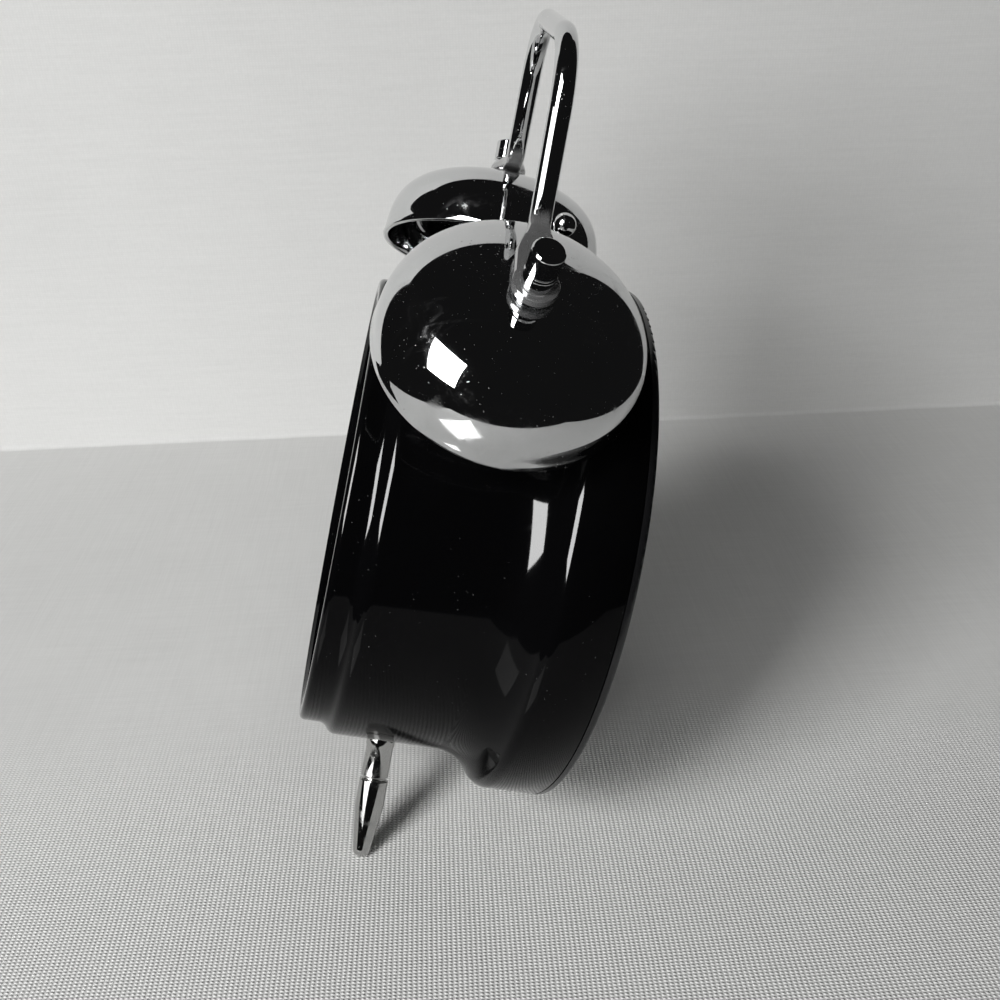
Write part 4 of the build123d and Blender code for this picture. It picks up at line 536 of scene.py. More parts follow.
def plating_finish(name, base, wear=1.0, satin_below=None):
    """Bright plating: pits, dull smudges, dust and fine scratches, satin where forged flat."""
    f = Finish(name, Metallic=1.0, Roughness=0.05)
    smudge = f.noise(55, 5, 0.62, distortion=0.6).ramp(0.5, 0.74)
    prints = (f.noise(240, 4, 0.65, distortion=1.2) * f.noise(30, 2)).ramp(0.27, 0.4)
    zone = f.noise(75, 3, 0.6).ramp(0.52, 0.68)
    pits = f.cells(1500).ramp(0.2, 0.1) * zone * (f.noise(900, 1) > 0.55)
    dust = f.noise(3600, 1, 0.3) > 0.79
    scratch = f.noise(800, 1, 0.4, f.moved((1, 0.03, 0.25), (0.5, 0.9, 0.2))).ramp(0.66, 0.72)
    rough = 0.03 + (smudge * 0.09 + prints * 0.12 + pits * 0.3 + dust * 0.3 + scratch * 0.06) * wear
    dull = (smudge * 0.1 + pits * 0.7 + prints * 0.06) * wear
    if satin_below:
        height = f.parts()[2]
        satin = height.ramp(satin_below - FORGED_BLEND, satin_below + FORGED_BLEND, 1.0, 0.0)
        rough = rough + satin * 0.12
        dull = dull + satin * 0.5
        f.set("Metallic", 1 - satin * 0.2)
    f.set("Roughness", rough)
    f.set("Base Color", f.mix(dull, base, (0.26, 0.255, 0.25, 1)))
    f.bump(1 - pits * 0.9 - scratch * 0.1 + dust * 0.3 + smudge * 0.02, 0.2 * wear, 0.00006)
    return f.material


def steel_finish(name, base, rough=0.3, grain=(1, 1, 0.06)):
    """Plain steel or zinc with a drawn grain."""
    f = Finish(name, Metallic=1.0, Roughness=rough)
    line = f.noise(1400, 3, 0.6, f.moved(grain))
    stain = f.noise(120, 4).ramp(0.45, 0.75)
    f.set("Roughness", rough + line * 0.14 + stain * 0.12)
    f.set("Base Color", f.mix(stain * 0.35, base, shade(base, 0.62)))
    f.bump(line, 0.12, 0.00004)
    return f.material


def plastic_finish(name, base, rough=0.42, grain=0.18):
    """Moulded plastic with a fine spark-eroded grain and slight dust."""
    f = Finish(name, Roughness=rough, IOR=1.47)
    grainy = f.noise(2400, 2, 0.5)
    # In the plastic this share is plain wear, lighter patches at random, with no painted light
    wear_and_painted_light = f.noise(60, 4).ramp(0.45, 0.72)
    f.set("Roughness", rough - 0.06 + wear_and_painted_light * 0.14 + grainy * 0.05)
    lighter = tuple(min(1, c * 1.25 + 0.012) for c in base[:3]) + (1,)
    f.set("Base Color", f.mix(wear_and_painted_light * 0.5 + grainy * 0.15, base, lighter))
    f.bump(grainy, grain, 0.00005)
    return f.material


def glass_finish(name):
    """Clear window glass."""
    f = Finish(
        name, Base_Color=(0.97, 0.985, 0.98, 1), Transmission_Weight=1.0, IOR=1.46, Roughness=0.0
    )
    f.set("Roughness", f.noise(500, 3, 0.6).ramp(0.62, 0.78) * 0.12)
    return f.material


def winding_finish(name):
    """Lacquered copper wire, wound in close turns along the coil."""
    f = Finish(name, Metallic=1.0, Roughness=0.28)
    _, up = directions()
    inputs = {0: f.coordinates, 1: up}
    along = f.value("ShaderNodeVectorMath", {"operation": "DOT_PRODUCT"}, inputs, "Value")
    turns = (along * (2 * pi / WIRE_PITCH)).wave()
    f.set("Base Color", f.mix(turns.ramp(-1, 1), (0.32, 0.11, 0.05, 1), (0.72, 0.33, 0.16, 1)))
    f.bump(turns, 0.4, 0.00005)
    return f.material


def board_finish(name):
    """Solder mask over copper tracks."""
    f = Finish(name, Roughness=0.35)
    tracks = f.cells(420, "DISTANCE_TO_EDGE").ramp(0.03, 0.06)
    f.set("Base Color", f.mix(tracks, (0.05, 0.24, 0.12, 1), (0.015, 0.1, 0.05, 1)))
    f.bump(1 - tracks, 0.3, 0.00005)
    return f.material


def cell_finish(name):
    """A plain battery jacket in two colours, with a bare metal end."""
    f = Finish(name, Roughness=0.3, Coat_Weight=0.6)
    along = f.parts()[0]
    band_from, band_to, bare_from, bare_to = 0.0118, 0.0122, 0.0238, 0.0241
    band, bare = along.ramp(band_from, band_to), along.ramp(bare_from, bare_to)
    jacket = f.mix(band, (0.02, 0.1, 0.3, 1), (0.5, 0.42, 0.22, 1))
    f.set("Base Color", f.mix(bare, jacket, (0.6, 0.6, 0.6, 1)))
    f.set("Metallic", bare)
    f.set("Roughness", 0.28 + f.noise(300, 3).ramp(0.4, 0.8) * 0.15)
    return f.material


def cloth_finish(name, base):
    """Pale woven cloth: crossed threads, slubs and a few soft stains."""
    f = Finish(name, Roughness=0.95, IOR=1.3, Specular_IOR_Level=0.1)
    x, y, z = f.parts()
    wander = f.noise(320, 2) * 0.9
    weft = ((x + z) * (pi / WEFT_PITCH) + wander).wave()
    warp = (y * (pi / WARP_PITCH) + wander).wave()
    weave = weft * weft * warp * warp
    slub = f.noise(900, 2, 0.6, f.moved((0.05, 1, 1))) + f.noise(900, 2, 0.6, f.moved((1, 0.05, 1)))
    patch = f.noise(9, 4, 0.6).ramp(0.35, 0.75)
    # The weave shows less on the cloth behind the clock than on the near part, and the near part is
    # painted lighter on average: a painted pool of light on the foreground
    far, near, least = -0.015, 0.05, 0.06
    wear_and_painted_light = x.ramp(far, near, least, 1.0)
    share = 0.5 + (0.07 - weave) * 1.1 * wear_and_painted_light + (slub - 1) * 0.15 + patch * 0.06
    f.set("Base Color", f.mix(share.clip(), shade(base, 1.3), shade(base, 0.7)))
    f.bump((weave + slub * 0.3) * wear_and_painted_light, 0.9, 0.0002)
    # From behind, the camera sees through the cloth, so that it doesn't hide the clock
    behind = f.value("ShaderNodeNewGeometry", {}, {}, "Backfacing")
    seen = f.value("ShaderNodeLightPath", {}, {}, "Is Camera Ray")
    clear = f.node("ShaderNodeBsdfTransparent").outputs[0]
    both = f.node("ShaderNodeMixShader", {}, {0: behind * seen, 1: f.shader.outputs[0], 2: clear})
    f.tree.links.new(both.outputs[0], f.tree.nodes["Material Output"].inputs["Surface"])
    return f.material


def paper_finish(name):
    """A sheet lying beside the clock that glows by its own emission though it is no lamp: a painted
    reflection, seen only in the bell.
    """
    f = Finish(name, Roughness=0.9, Emission_Color=(1, 1, 0.99, 1), Emission_Strength=1.2)
    f.set("Base Color", f.mix(f.noise(700, 3) * 0.2, (0.8, 0.8, 0.79, 1), grey(0.7)))
    return f.material


FINISHES = {}


def finish(name):
    """The material of a look, made once: its maker, its colour, and what else the maker takes."""
    case, bell, dial = settings("clock_case"), settings("clock_bell"), settings("clock_dial")
    looks = {
        "case_black": (enamel_finish, tuple(case.enamel)),
        "cover_black": (plastic_finish, (0.006, 0.006, 0.0065, 1), 0.24, 0.06),
        "plated": (plating_finish, tuple(bell.plating)),
        "plated_wire": (plating_finish, tuple(bell.plating), 1.4, FORGED_BELOW),
        "plated_turned": (plating_finish, (0.5, 0.5, 0.49, 1), 1.6),
        "steel": (steel_finish, grey(0.5)),
        "clear": (glass_finish,),
        "white_ring": (plastic_finish, (0.56, 0.555, 0.53, 1), 0.45, 0.1),
        "dial_face": (plastic_finish, tuple(dial.paper), 0.6, 0.1),
        "dial_print": (plastic_finish, tuple(dial.ink), 0.5, 0.05),
        "hands_black": (plastic_finish, grey(0.012), 0.35, 0.05),
        "alarm_hand_red": (plastic_finish, (0.42, 0.03, 0.02, 1), 0.4, 0.05),
        "black_plastic": (plastic_finish, (0.012, 0.012, 0.0125, 1), 0.45, 0.3),
        "movement_plastic": (plastic_finish, (0.03, 0.03, 0.033, 1), 0.5, 0.3),
        "wheel_plastic": (plastic_finish, (0.66, 0.65, 0.6, 1), 0.4, 0.08),
        "brass_bright": (steel_finish, (0.72, 0.5, 0.2, 1), 0.24),
        "copper_winding": (winding_finish,),
        "board_green": (board_finish,),
        "cell_jacket": (cell_finish,),
    }
    if name not in FINISHES:
        maker, *values = looks[name]
        FINISHES[name] = maker(name, *values)
    return FINISHES[name]


# Pieces
def step_curve(start, end, steps=12):
    """A smooth step between two (radius, depth) points: two equal arcs that meet in the middle."""
    (r0, d0), (r1, d1) = start, end
    rise, run = r1 - r0, d1 - d0
    radius = (rise * rise + run * run) / (4 * abs(rise))
    points = []
    for number in range(steps + 1):
        share = number / steps
        d = share * run
        if share <= 0.5:
            lift = radius - sqrt(radius * radius - d * d)
        else:
            back = run - d
            lift = abs(rise) - (radius - sqrt(radius * radius - back * back))
        points.append((r0 + (lift if rise > 0 else -lift), d0 + d))
    return points


def drum_line(case, inset, beside=0.4, hollow_steps=16, crown_steps=12):
    """The drum's side: the front band, a short step, the middle, a hollow and a round shoulder."""
    front, middle, rear = [r - inset for r in (case.front_radius, case.middle_radius, case.rear_radius)]
    step_end, hollow_start = case.front_band + case.front_step, case.rear_step_start
    line = [(front, case.front_band - beside)]
    line += step_curve((front, case.front_band), (middle, step_end))
    line += [(middle, step_end + beside), (middle, hollow_start - beside)]
    both = case.rear_hollow + case.rear_crown
    slope = acos(1 - (case.rear_radius - case.middle_radius) / both)
    end = hollow_start + both * sin(slope)
    hollow, crown = case.rear_hollow + inset, case.rear_crown - inset
    for number in range(hollow_steps + 1):
        turn = slope * number / hollow_steps
        line.append((middle + hollow * (1 - cos(turn)), hollow_start + hollow * sin(turn)))
    for number in range(1, crown_steps + 1):
        turn = slope * (1 - number / crown_steps)
        line.append((rear - crown * (1 - cos(turn)), end - crown * sin(turn)))
    return line + [(rear, end + beside)]


def case_outline(case, lip_chamfer=0.25, back_chamfer=0.2, steps=8):
    """The sheet's outline: rolled lip, the outside to the back, and the inside to the front."""
    front, rear, edge = case.front_radius, case.rear_radius, case.rounding
    lip, back = front - case.lip, case.depth - case.rim
    outline = [(lip, case.wall), (lip, lip_chamfer), (lip + lip_chamfer, 0)]
    for number in range(steps + 1):
        turn = pi / 2 * number / steps
        outline.append((front - edge * (1 - sin(turn)), edge * (1 - cos(turn))))
    outline += [(front, edge + EDGE_CHAMFER)] + drum_line(case, 0)
    outline += [(rear, back - back_chamfer), (rear - back_chamfer, back), (rear - case.wall, back)]
    outline += drum_line(case, case.wall)[::-1]
    return outline + [(front - case.wall, case.wall)]


def slot_cutter(case, leg, radius=1.9, room=1.2, below=4.9, height=10, segments=48):
    """A bar with round ends that covers the rod's swing, standing in the top of the case."""
    cutter = bmesh.new()
    reach = (case.middle_radius - leg.pivot_height) * tan(radians(leg.swing)) + ROD_RADIUS + room
    bmesh.ops.create_circle(
        cutter, cap_ends=True, segments=segments, radius=radius * MM,
        matrix=Matrix.Rotation(pi / segments, 4, "Z"),
    )
    for side, _ in SIDES:
        ends = [v for v in cutter.verts if v.co.x * side > 0]
        bmesh.ops.translate(cutter, verts=ends, vec=(side * (reach - radius) * MM, 0, 0))
    lifted = verts_in(bmesh.ops.extrude_face_region(cutter, geom=cutter.faces[:]))
    bmesh.ops.translate(cutter, verts=lifted, vec=(0, 0, height * MM))
    bmesh.ops.recalc_face_normals(cutter, faces=cutter.faces)
    start = Matrix.Translation((0, 0, (case.middle_radius - below) * MM))
    bmesh.ops.transform(cutter, matrix=spoke(0, leg.hammer_depth) @ start, verts=cutter.verts)
    return cutter


class CLOCK_OT_case(Operator):
    """Spin the stepped case from one sheet, with its rolled lip and the slot for the hammer"""

    bl_idname = "clock.case"
    bl_label = "Case"

    def execute(self, context):
        case, leg = settings("clock_case"), settings("clock_leg")
        bm = bmesh.new()
        turned(bm, [(r, -d) for r, d in case_outline(case)], facing(0, 0, 0), 256)
        shell = finish_piece("case_sheet", bm, "case", ["case_shell"], "case_black", sharp=50)
        cut_out(shell, slot_cutter(case, leg))
        return {"FINISHED"}


def cut_out(piece, cutter):
    """Takes a closed bmesh out of a piece."""
    mesh = bpy.data.meshes.new("cutter")
    cutter.to_mesh(mesh)
    cutter.free()
    tool = linked("cutter", mesh)
    cut = piece.modifiers.new("cut", "BOOLEAN")
    cut.operation, cut.object, cut.solver = "DIFFERENCE", tool, "EXACT"
    old = piece.data
    done = final_mesh(piece)
    piece.modifiers.remove(cut)
    piece.data = done
    bpy.data.meshes.remove(old)
    bpy.data.objects.remove(tool)
    bpy.data.meshes.remove(mesh)


def dome_line(bell, inset, steps=48):
    """The dome from its rim to its crown: a full curve whose rim turns slightly outwards."""
    points = []
    for number in range(steps + 1):
        turn = pi / 2 * number / steps
        rise = (bell.height - inset) * sin(turn) ** (2 / bell.fullness)
        flare = bell.flare * max(0, 1 - rise / bell.flare_height) ** 2
        r = (bell.radius - inset) * max(cos(turn), 0) ** (2 / bell.fullness) + flare
        points.append((r if number < steps else 0.0, bell.reach + rise))
    return points


def bell_outline(bell, rim=0.35, flared=0.8, steps=6):
    """A bell's wall: down its outside, round the rim and up its inside."""
    half, start = bell.wall / 2, bell.reach + rim
    middle = bell.radius + flared * bell.flare - half
    outer, inner = [[spot for spot in dome_line(bell, d) if spot[1] > start] for d in (0, bell.wall)]
    round_rim = []
    for number in range(steps + 1):
        turn = pi * number / steps
        round_rim.append((middle + half * cos(turn), start - rim * sin(turn)))
    return outer[::-1] + round_rim + inner


class CLOCK_OT_bells(Operator):
    """Spin both bells as thin domes with a rounded rim"""

    bl_idname = "clock.bells"
    bl_label = "Bells"

    def execute(self, context):
        bell = settings("clock_bell")
        for side, name in SIDES:
            bm = bmesh.new()
            turned(bm, bell_outline(bell), spoke(side * bell.angle, bell.depth), 192, closed=False)
            finish_piece(f"bell_dome_{name}", bm, "case", [f"bell_{name}"], "plated", sharp=60)
        return {"FINISHED"}


def post_outline(bell, seat, under, nut, collar=1.6, cone=2.2, in_nut=4.4):
    """A post: its stud in the case, a stem between two collars, and its stud in the nut."""
    stud, stem, wide = bell.post_radius, bell.stem_radius, bell.collar_radius
    low, high = seat - STUD_DEPTH, nut + in_nut
    return [
        (0, low), (stud, low), (stud, seat), (wide, seat), (wide, seat + collar), (stem, seat + cone),
        (stem, under - cone), (wide, under - collar), (wide, under - GAP), (stud, under - GAP),
        (stud, high), (0, high),
    ]


def washer_outline(bell, low, play=0.15):
    """A washer round the stud."""
    inner, outer, high = bell.post_radius + play, bell.washer_radius, low + WASHER_THICKNESS
    return [(inner, low), (outer, low), (outer, high), (inner, high)]


def cap_outline(bell, low, groove_share=0.36, groove=0.25, bore_depth=4.9):
    """A cap nut with a blind bore, a groove round it and chamfered ends."""
    bore, outer, inner = bell.post_radius + GAP, bell.nut_radius, bell.nut_radius - groove
    high, bottom = low + bell.nut_height, low + bore_depth
    middle = low + groove_share * bell.nut_height
    return [
        (bore, low), (inner, low), (outer, low + EDGE_CHAMFER), (outer, middle - groove),
        (inner, middle), (inner, middle + groove), (outer, middle + 2 * groove),
        (outer, high - EDGE_CHAMFER), (outer - EDGE_CHAMFER, high), (0, high), (0, bottom),
        (bore, bottom),
    ]


class CLOCK_OT_posts(Operator):
    """Turn the bell posts, washers and cap nuts"""

    bl_idname = "clock.posts"
    bl_label = "Posts and nuts"

    def execute(self, context):
        bell, case, handle = settings("clock_bell"), settings("clock_case"), settings("clock_handle")
        top, seat = bell.reach + bell.height, case.middle_radius + GAP
        washer = top + GAP
        nut = washer + WASHER_THICKNESS + GAP + handle.eye_thickness + GAP
        washers = bmesh.new()
        for side, name in SIDES:
            matrix = spoke(side * bell.angle, bell.depth)
            post, cap = bmesh.new(), bmesh.new()
            outline = post_outline(bell, seat, top - bell.wall, nut)
            turned(post, outline, matrix, 64, 0.12, closed=False)
            finish_piece(f"post_{name}", post, "case", [f"bell_post_{name}"], "plated")
            turned(washers, washer_outline(bell, washer), matrix, 64, 0.14)
            turned(cap, cap_outline(bell, nut), matrix, 96, 0.1)
            finish_piece(f"cap_{name}", cap, "case", [f"cap_nut_{name}"], "plated")
        finish_piece("washers", washers, "case", ["bell_washers"], "plated")
        return {"FINISHED"}


def handle_line(bell, handle, middle, start=0.2, step=0.35):
    """The wire's middle line, from one eye over the top to the other."""
    base_height, slope = middle * cos(radians(bell.angle)), tan(radians(handle.tilt))

    def strap(side, length):
        matrix = spoke(side * bell.angle, bell.depth)
        return matrix @ Vector((-side * length * MM, 0, middle * MM))

    def wire(x, v):
        return place(x, v, bell.depth - (v - base_height) * slope)

    corners = [
        strap(1, start), strap(1, handle.corner), wire(handle.shoulder, handle.top),
        wire(-handle.shoulder, handle.top), strap(-1, handle.corner), strap(-1, start),
    ]
    bends = [0, handle.corner_bend * MM, handle.shoulder_bend * MM]
    return rounded_line(corners, bends + bends[::-1], step * MM)


def swept(line, radius):
    """A bmesh of round wire along a line of points, with closed ends."""
    curve = bpy.data.curves.new("wire_line", "CURVE")
    curve.dimensions, curve.bevel_depth, curve.bevel_resolution = "3D", radius * MM, 15
    curve.use_fill_caps = True
    spline = curve.splines.new("POLY")
    spline.points.add(len(line) - 1)
    for point, co in zip(spline.points, line):
        point.co = (*co, 1)
    bm = bmesh.new()
    pour(bm, linked("wire_line", curve), Matrix.Identity(4))
    bmesh.ops.remove_doubles(bm, verts=bm.verts, dist=1e-7)
    return bm


def add_eye(bm, matrix, low, handle, edge=0.16):
    """Adds to the wire the flat disc at its end, with softened edges."""
    eye = bmesh.new()
    bmesh.ops.create_circle(eye, cap_ends=False, segments=96, radius=handle.eye_radius * MM)
    copies = verts_in(bmesh.ops.duplicate(eye, geom=eye.verts))
    bmesh.ops.translate(eye, verts=copies, vec=(0, 0, handle.eye_thickness * MM))
    bmesh.ops.convex_hull(eye, input=eye.verts)
    bmesh.ops.delete(eye, geom=[v for v in eye.verts if not v.link_faces], context="VERTS")
    bmesh.ops.dissolve_limit(eye, angle_limit=radians(1), verts=eye.verts, edges=eye.edges)
    rim = [e for e in eye.edges if e.calc_face_angle(0) > radians(50)]
    bmesh.ops.bevel(
        eye, geom=rim, offset=edge * MM, offset_type="OFFSET", segments=3, profile=0.5,
        affect="EDGES", material=-1, clamp_overlap=True,
    )
    bmesh.ops.transform(eye, matrix=matrix @ Matrix.Translation((0, 0, low * MM)), verts=eye.verts)
    bmesh.ops.recalc_face_normals(eye, faces=eye.faces)
    mesh = bpy.data.meshes.new("eye")
    eye.to_mesh(mesh)
    eye.free()
    bm.from_mesh(mesh)
    bpy.data.meshes.remove(mesh)


class CLOCK_OT_handle(Operator):
    """Draw the wire handle along its bends, then forge its ends flat into eyes"""

    bl_idname = "clock.handle"
    bl_label = "Handle"

    def execute(self, context):
        bell, handle = settings("clock_bell"), settings("clock_handle")
        half = handle.eye_thickness / 2
        middle = bell.reach + bell.height + 2 * GAP + WASHER_THICKNESS + half
        line = handle_line(bell, handle, middle)
        bm = swept(line, handle.wire)
        matrices = [spoke(side * bell.angle, bell.depth) for side, _ in SIDES]
        for matrix, run in zip(matrices, (line, line[::-1])):
            forge(bm, run, matrix.col[1].xyz, handle)
        bmesh.ops.recalc_face_normals(bm, faces=bm.faces)
        for matrix in matrices:
            add_eye(bm, matrix, middle - half, handle)
        finish_piece("handle_wire", bm, "case", ["handle"], "plated_wire", "plated", 28)
        return {"FINISHED"}


def forge(bm, run, across, handle, within=0.98, spare=1.0):
    """Flattens and spreads the start of a wire that follows a run of points.

    Its thickness grows evenly from the eye's, and stays within it; its width narrows smoothly.
    """
    reach = [0.0]
    for before, here in zip(run, run[1:]):
        reach.append(reach[-1] + (here - before).length / MM)
    end = handle.flat + handle.taper
    near = [number for number, length in enumerate(reach) if 0 < number and length < end + spare]
    thin = handle.eye_thickness / 2 * within
    for vertex in bm.verts:
        if (vertex.co - run[0]).length > (end + 3 * spare) * MM:
            continue
        number = min(near, key=lambda n: (vertex.co - run[n]).length_squared)
        tangent = (run[number + 1] - run[number - 1]).normalized()
        normal = tangent.cross(across).normalized()
        offset = vertex.co - run[number]
        side, lift = offset.dot(across), offset.dot(normal)
        along = offset - across * side - normal * lift
        share = min(1, max(0, (reach[number] - handle.flat) / handle.taper))
        limit = (thin + (handle.wire - thin) * share) * MM
        narrow = min(1, max(0, (reach[number] - handle.spread_start) / handle.spread_length))
        narrow = narrow * narrow * (3 - 2 * narrow)
        width = handle.spread / handle.wire * (1 - narrow) + narrow
        vertex.co = run[number] + along + across * side * width + normal * max(-limit, min(limit, lift))


def rounded_line(corners, radii, step):
    """Points along straight runs joined by arcs of the given radii, close together."""
    line = [corners[0]]
    for before, here, after, radius in zip(corners, corners[1:], corners[2:], radii[1:]):
        a, b = (before - here).normalized(), (after - here).normalized()
        half = a.angle(b) / 2
        setback = radius / tan(half)
        centre = here + (a + b).normalized() * (radius / sin(half))
        start, end = here + a * setback - centre, here + b * setback - centre
        turn = start.angle(end)
        steps = max(6, round(turn * radius / step))
        for number in range(steps + 1):
            share = number / steps
            spot = centre + (start * sin(turn * (1 - share)) + end * sin(turn * share)) / sin(turn)
            line += run_to(line[-1], spot, step) if number == 0 else [spot]
    return line + run_to(line[-1], corners[-1], step)


def run_to(start, end, step):
    """Points along a straight run, without its start."""
    count = max(1, round((end - start).length / step))
    return [start.lerp(end, number / count) for number in range(1, count + 1)]


def leg_outline(case, leg, stud=1.5, ring=1.5, waist=0.4, slope=0.1, steps=8):
    """A leg: its stud in the case, ring, groove, taper and a round tip that meets the ground."""
    lean, seat = radians(case.lean), case.middle_radius + GAP
    height = place(0, 0, 0).z / MM
    tilt = cos(pi - radians(leg.angle)) * cos(lean)
    tip = (height - leg.depth * sin(lean) - leg.tip_radius) / tilt
    low, wide, narrow = seat - STUD_DEPTH, leg.ring_radius, leg.radius - waist
    groove_end = leg.groove + slope + waist
    outline = [
        (0, low), (stud, low), (stud, seat), (wide, seat), (wide, seat + ring),
        (leg.radius, seat + ring + EDGE_CHAMFER), (leg.radius, leg.groove), (narrow, leg.groove + slope),
        (narrow, groove_end), (wide, groove_end + 2 * slope), (wide, leg.taper),
    ]
    for number in range(steps):
        turn = pi / 2 * number / steps
        outline.append((leg.tip_radius * cos(turn), tip + leg.tip_radius * sin(turn)))
    return outline + [(0, tip + leg.tip_radius)]


class CLOCK_OT_legs(Operator):
    """Turn the two front legs, with ring, groove, taper and round tip"""

    bl_idname = "clock.legs"
    bl_label = "Legs"

    def execute(self, context):
        leg = settings("clock_leg")
        outline = leg_outline(settings("clock_case"), leg)
        for side, name in SIDES:
            bm = bmesh.new()
            turned(bm, outline, spoke(side * leg.angle, leg.depth), 96, 0.12, closed=False)
            finish_piece(f"leg_turned_{name}", bm, "case", [f"leg_{name}"], "plated_turned", "plated")
        return {"FINISHED"}


class CLOCK_OT_hammer(Operator):
    """Make the hammer's polished ball and its rod"""

    bl_idname = "clock.hammer"
    bl_label = "Hammer"

    def execute(self, context):
        leg = settings("clock_leg")
        _, up = directions()
        ball = bmesh.new()
        bmesh.ops.create_uvsphere(ball, u_segments=64, v_segments=40, radius=leg.ball_radius * MM)
        spot = place(0, leg.ball_height, leg.hammer_depth)
        bmesh.ops.transform(ball, matrix=axes(spot, RIGHT, up), verts=ball.verts)
        finish_piece("hammer_head", ball, "hammer", ["hammer_ball"], "plated", sharp=60)
        rod = bmesh.new()
        above_pivot, below_ball = 4.25, 0.8
        low, high = leg.pivot_height + above_pivot, leg.ball_height - below_ball
        outline = [(0, low), (ROD_RADIUS, low), (ROD_RADIUS, high), (0, high)]
        turned(rod, outline, spoke(0, leg.hammer_depth), 48, 0.08, closed=False)
        finish_piece("hammer_wire", rod, "hammer", ["hammer_rod"], "steel")
        return {"FINISHED"}


def minute_track(dial, level):
    """A bmesh of sixty marks, of which each fifth is long."""
    bm = bmesh.new()
    for minute in range(60):
        width, length = HOUR_MARK if minute % 5 == 0 else MINUTE_MARK
        turned_to = Matrix.Rotation(-radians(6 * minute), 4, "Z")
        spot = (0, (dial.track_outer - length / 2) * MM, dial.print_height / 2 * MM)
        scale = Matrix.Diagonal((width * MM, length * MM, dial.print_height * MM, 1))
        bmesh.ops.create_cube(bm, size=1, matrix=level @ turned_to @ Matrix.Translation(spot) @ scale)
    return bm


def numerals(dial, level, cap_share=0.73):
    """A bmesh of the numbers 1 to 12, upright on their circle."""
    bm = bmesh.new()
    for hour in range(1, 13):
        text = bpy.data.curves.new("numeral", "FONT")
        text.body, text.size = str(hour), dial.numeral_height / cap_share * MM
        text.align_x, text.align_y, text.extrude = "CENTER", "CENTER", dial.print_height / 2 * MM
        text.resolution_u = 6
        angle = radians(30 * hour)
        spot = Vector((sin(angle), cos(angle), 0)) * dial.numeral_circle * MM
        spot.z = dial.print_height / 2 * MM
        pour(bm, linked("numeral", text), level @ Matrix.Translation(spot))
    return bm


class CLOCK_OT_dial_print(Operator):
    """Print plain numerals and the minute track on the dial"""

    bl_idname = "clock.dial_print"
    bl_label = "Dial print"

    def execute(self, context):
        dial = settings("clock_dial")
        level = facing(0, 0, dial.level)
        finish_piece("minute_track", minute_track(dial, level), "case", [], "dial_print", "dial_face", 30)
        finish_piece("numerals", numerals(dial, level), "case", [], "dial_print", "dial_face", 30)
        return {"FINISHED"}


class CLOCK_OT_solids(Operator):
    """Dress the remaining solids: joined faces, smooth shading and a finish for each"""

    bl_idname = "clock.solids"
    bl_label = "Other pieces"

    def execute(self, context):
        for node in sorted(set(frame["nodes"]) - set(MODELLED)):
            bm = merged_copy(node)
            finish_piece(f"{node}_dressed", bm, BODY_OF[node], [node], SLOT_OF[node], sharp=30)
        return {"FINISHED"}


# Stage
def cloth_sheet(stage, crease=1.5):
    """A bmesh of the cloth, which lies under the clock and turns up behind it."""
    bm = bmesh.new()
    near, far = stage.cloth_near * MM, -stage.wall_distance * MM
    half, high = stage.cloth_width / 2 * MM, stage.cloth_height * MM
    corners = [bm.verts.new(co) for co in ((near, -half, 0), (far, -half, 0), (far, -half, high))]
    for pair in zip(corners, corners[1:]):
        bm.edges.new(pair)
    bmesh.ops.bevel(
        bm, geom=[corners[1]], offset=crease * MM, offset_type="OFFSET", segments=4, profile=0.5,
        affect="VERTICES", material=-1, clamp_overlap=True,
    )
    moved = verts_in(bmesh.ops.extrude_edge_only(bm, edges=bm.edges[:]))
    bmesh.ops.translate(bm, verts=moved, vec=(0, 2 * half, 0))
    bmesh.ops.recalc_face_normals(bm, faces=bm.faces)
    bmesh.ops.reverse_faces(bm, faces=bm.faces)
    return bm


def paper_sheet():
    """A bmesh of the glowing sheet that paints a reflection in the bell, just above the cloth."""
    bm = bmesh.new()
    bm.faces.new([bm.verts.new((x, y, PAINTED_GLOW_HEIGHT)) for x, y in PAINTED_GLOW_CORNERS])
    bmesh.ops.recalc_face_normals(bm, faces=bm.faces)
    return bm


def hang_lamp(name, watts):
    """One of the lamps, turned to its aim and hidden from one kind of ray."""
    spot, target, wide, tall, roll, hidden = LAMPS[name]
    lamp = bpy.data.lights.new(name, "AREA")
    lamp.shape, lamp.size, lamp.size_y, lamp.energy = "RECTANGLE", wide, tall, watts
    item = linked(name, lamp)
    aim = (Vector(target) - Vector(spot)).to_track_quat("-Z", "Y").to_matrix().to_4x4()
    item.matrix_world = Matrix.Translation(spot) @ aim @ Matrix.Rotation(radians(roll), 4, "Z")
    setattr(item, f"visible_{hidden}", False)
    return item


def link_lamp(lamp, state, pieces):
    """Lets a lamp light only some pieces, or all but some."""
    lit = bpy.data.collections.new(f"{lamp.name}_receivers")
    for name in pieces:
        lit.objects.link(bpy.data.objects[name])
    for entry in lit.collection_objects:
        entry.light_linking.link_state = state
    lamp.light_linking.receiver_collection = lit


def set_camera(scene, stage):
    """The camera, turned from straight along -X by its yaw, pitch and roll."""
    camera = bpy.data.cameras.new("camera")
    camera.sensor_width, camera.lens = 36, stage.lens
    camera.clip_start, camera.clip_end = 0.01, 10
    yaw, pitch, roll = stage.camera_yaw, stage.camera_pitch, stage.camera_roll
    ahead = Vector((-cos(pitch) * cos(yaw), -cos(pitch) * sin(yaw), sin(pitch)))
    side = ahead.cross(Vector((0, 0, 1))).normalized()
    above = side.cross(ahead)
    side, above = side * cos(roll) + above * sin(roll), above * cos(roll) - side * sin(roll)
    turn = Matrix((side, above, -ahead)).transposed().to_4x4()
    spot = Vector(stage.camera_place) * MM
    scene.camera = linked("camera", camera)
    scene.camera.matrix_world = Matrix.Translation(spot) @ turn


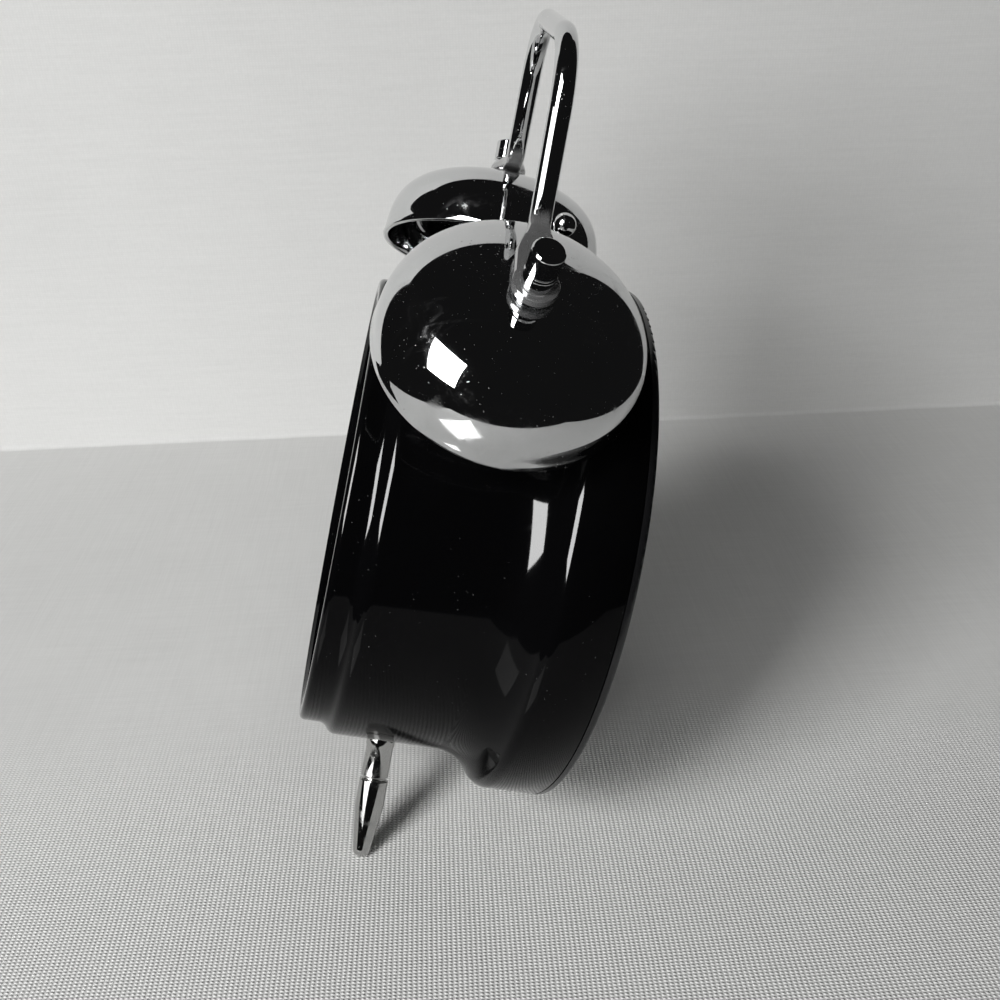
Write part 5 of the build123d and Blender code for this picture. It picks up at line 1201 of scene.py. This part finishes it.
class CLOCK_OT_stage(Operator):
    """Lay the cloth, hang the lights and set the camera"""

    bl_idname = "clock.stage"
    bl_label = "Stage"

    def execute(self, context):
        scene, stage = context.scene, settings("clock_stage")
        cloth = smooth_piece("cloth", cloth_sheet(stage), cloth_finish("cloth", tuple(stage.cloth)), 90)
        lamps = [hang_lamp(name, getattr(stage, f"{name}_power")) for name in LAMPS]
        for name, (state, *pieces) in RECEIVERS.items():
            link_lamp(bpy.data.objects[name], state, pieces)
        # The paper is a glowing sheet, no lamp, hidden from all but glossy rays: a painted reflection in
        # the bell
        paper = smooth_piece("paper", paper_sheet(), paper_finish("paper"), 90)
        paper.visible_camera = paper.visible_diffuse = paper.visible_shadow = False
        scene.world = bpy.data.worlds.new("room")
        scene.world.use_nodes = True
        background = scene.world.node_tree.nodes["Background"]
        background.inputs["Color"].default_value = ROOM_COLOUR
        set_camera(scene, stage)
        scene.view_settings.view_transform = "Standard"
        return {"FINISHED"}


class CLOCK_PT_panel(Panel):
    """Lists the clock's pieces"""

    bl_idname = "CLOCK_PT_panel"
    bl_label = "Alarm Clock"
    bl_space_type = "VIEW_3D"
    bl_region_type = "UI"
    bl_category = "Alarm Clock"

    def draw(self, context):
        for operator in OPERATORS:
            self.layout.operator(operator.bl_idname)
        for name in GROUPS:
            group = getattr(context.scene, name)
            column = self.layout.box()
            for key in group.__class__.__annotations__:
                column.prop(group, key)


GROUPS = {
    "clock_case": CaseSettings,
    "clock_bell": BellSettings,
    "clock_handle": HandleSettings,
    "clock_leg": LegSettings,
    "clock_dial": DialSettings,
    "clock_stage": StageSettings,
}
OPERATORS = (
    CLOCK_OT_case, CLOCK_OT_bells, CLOCK_OT_posts, CLOCK_OT_handle, CLOCK_OT_legs, CLOCK_OT_hammer,
    CLOCK_OT_dial_print, CLOCK_OT_solids, CLOCK_OT_stage,
)


def register():
    for group in GROUPS.values():
        bpy.utils.register_class(group)
    for name, group in GROUPS.items():
        setattr(bpy.types.Scene, name, PointerProperty(type=group))
    for operator in OPERATORS:
        bpy.utils.register_class(operator)
    bpy.utils.register_class(CLOCK_PT_panel)


def unregister():
    bpy.utils.unregister_class(CLOCK_PT_panel)
    for operator in reversed(OPERATORS):
        bpy.utils.unregister_class(operator)
    for name, group in GROUPS.items():
        delattr(bpy.types.Scene, name)
        bpy.utils.unregister_class(group)


def main():
    register()
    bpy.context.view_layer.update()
    bpy.ops.clock.case()
    bpy.ops.clock.bells()
    bpy.ops.clock.posts()
    bpy.ops.clock.handle()
    bpy.ops.clock.legs()
    bpy.ops.clock.hammer()
    bpy.ops.clock.dial_print()
    bpy.ops.clock.solids()
    bpy.ops.clock.stage()


if __name__ == "__main__":
    main()
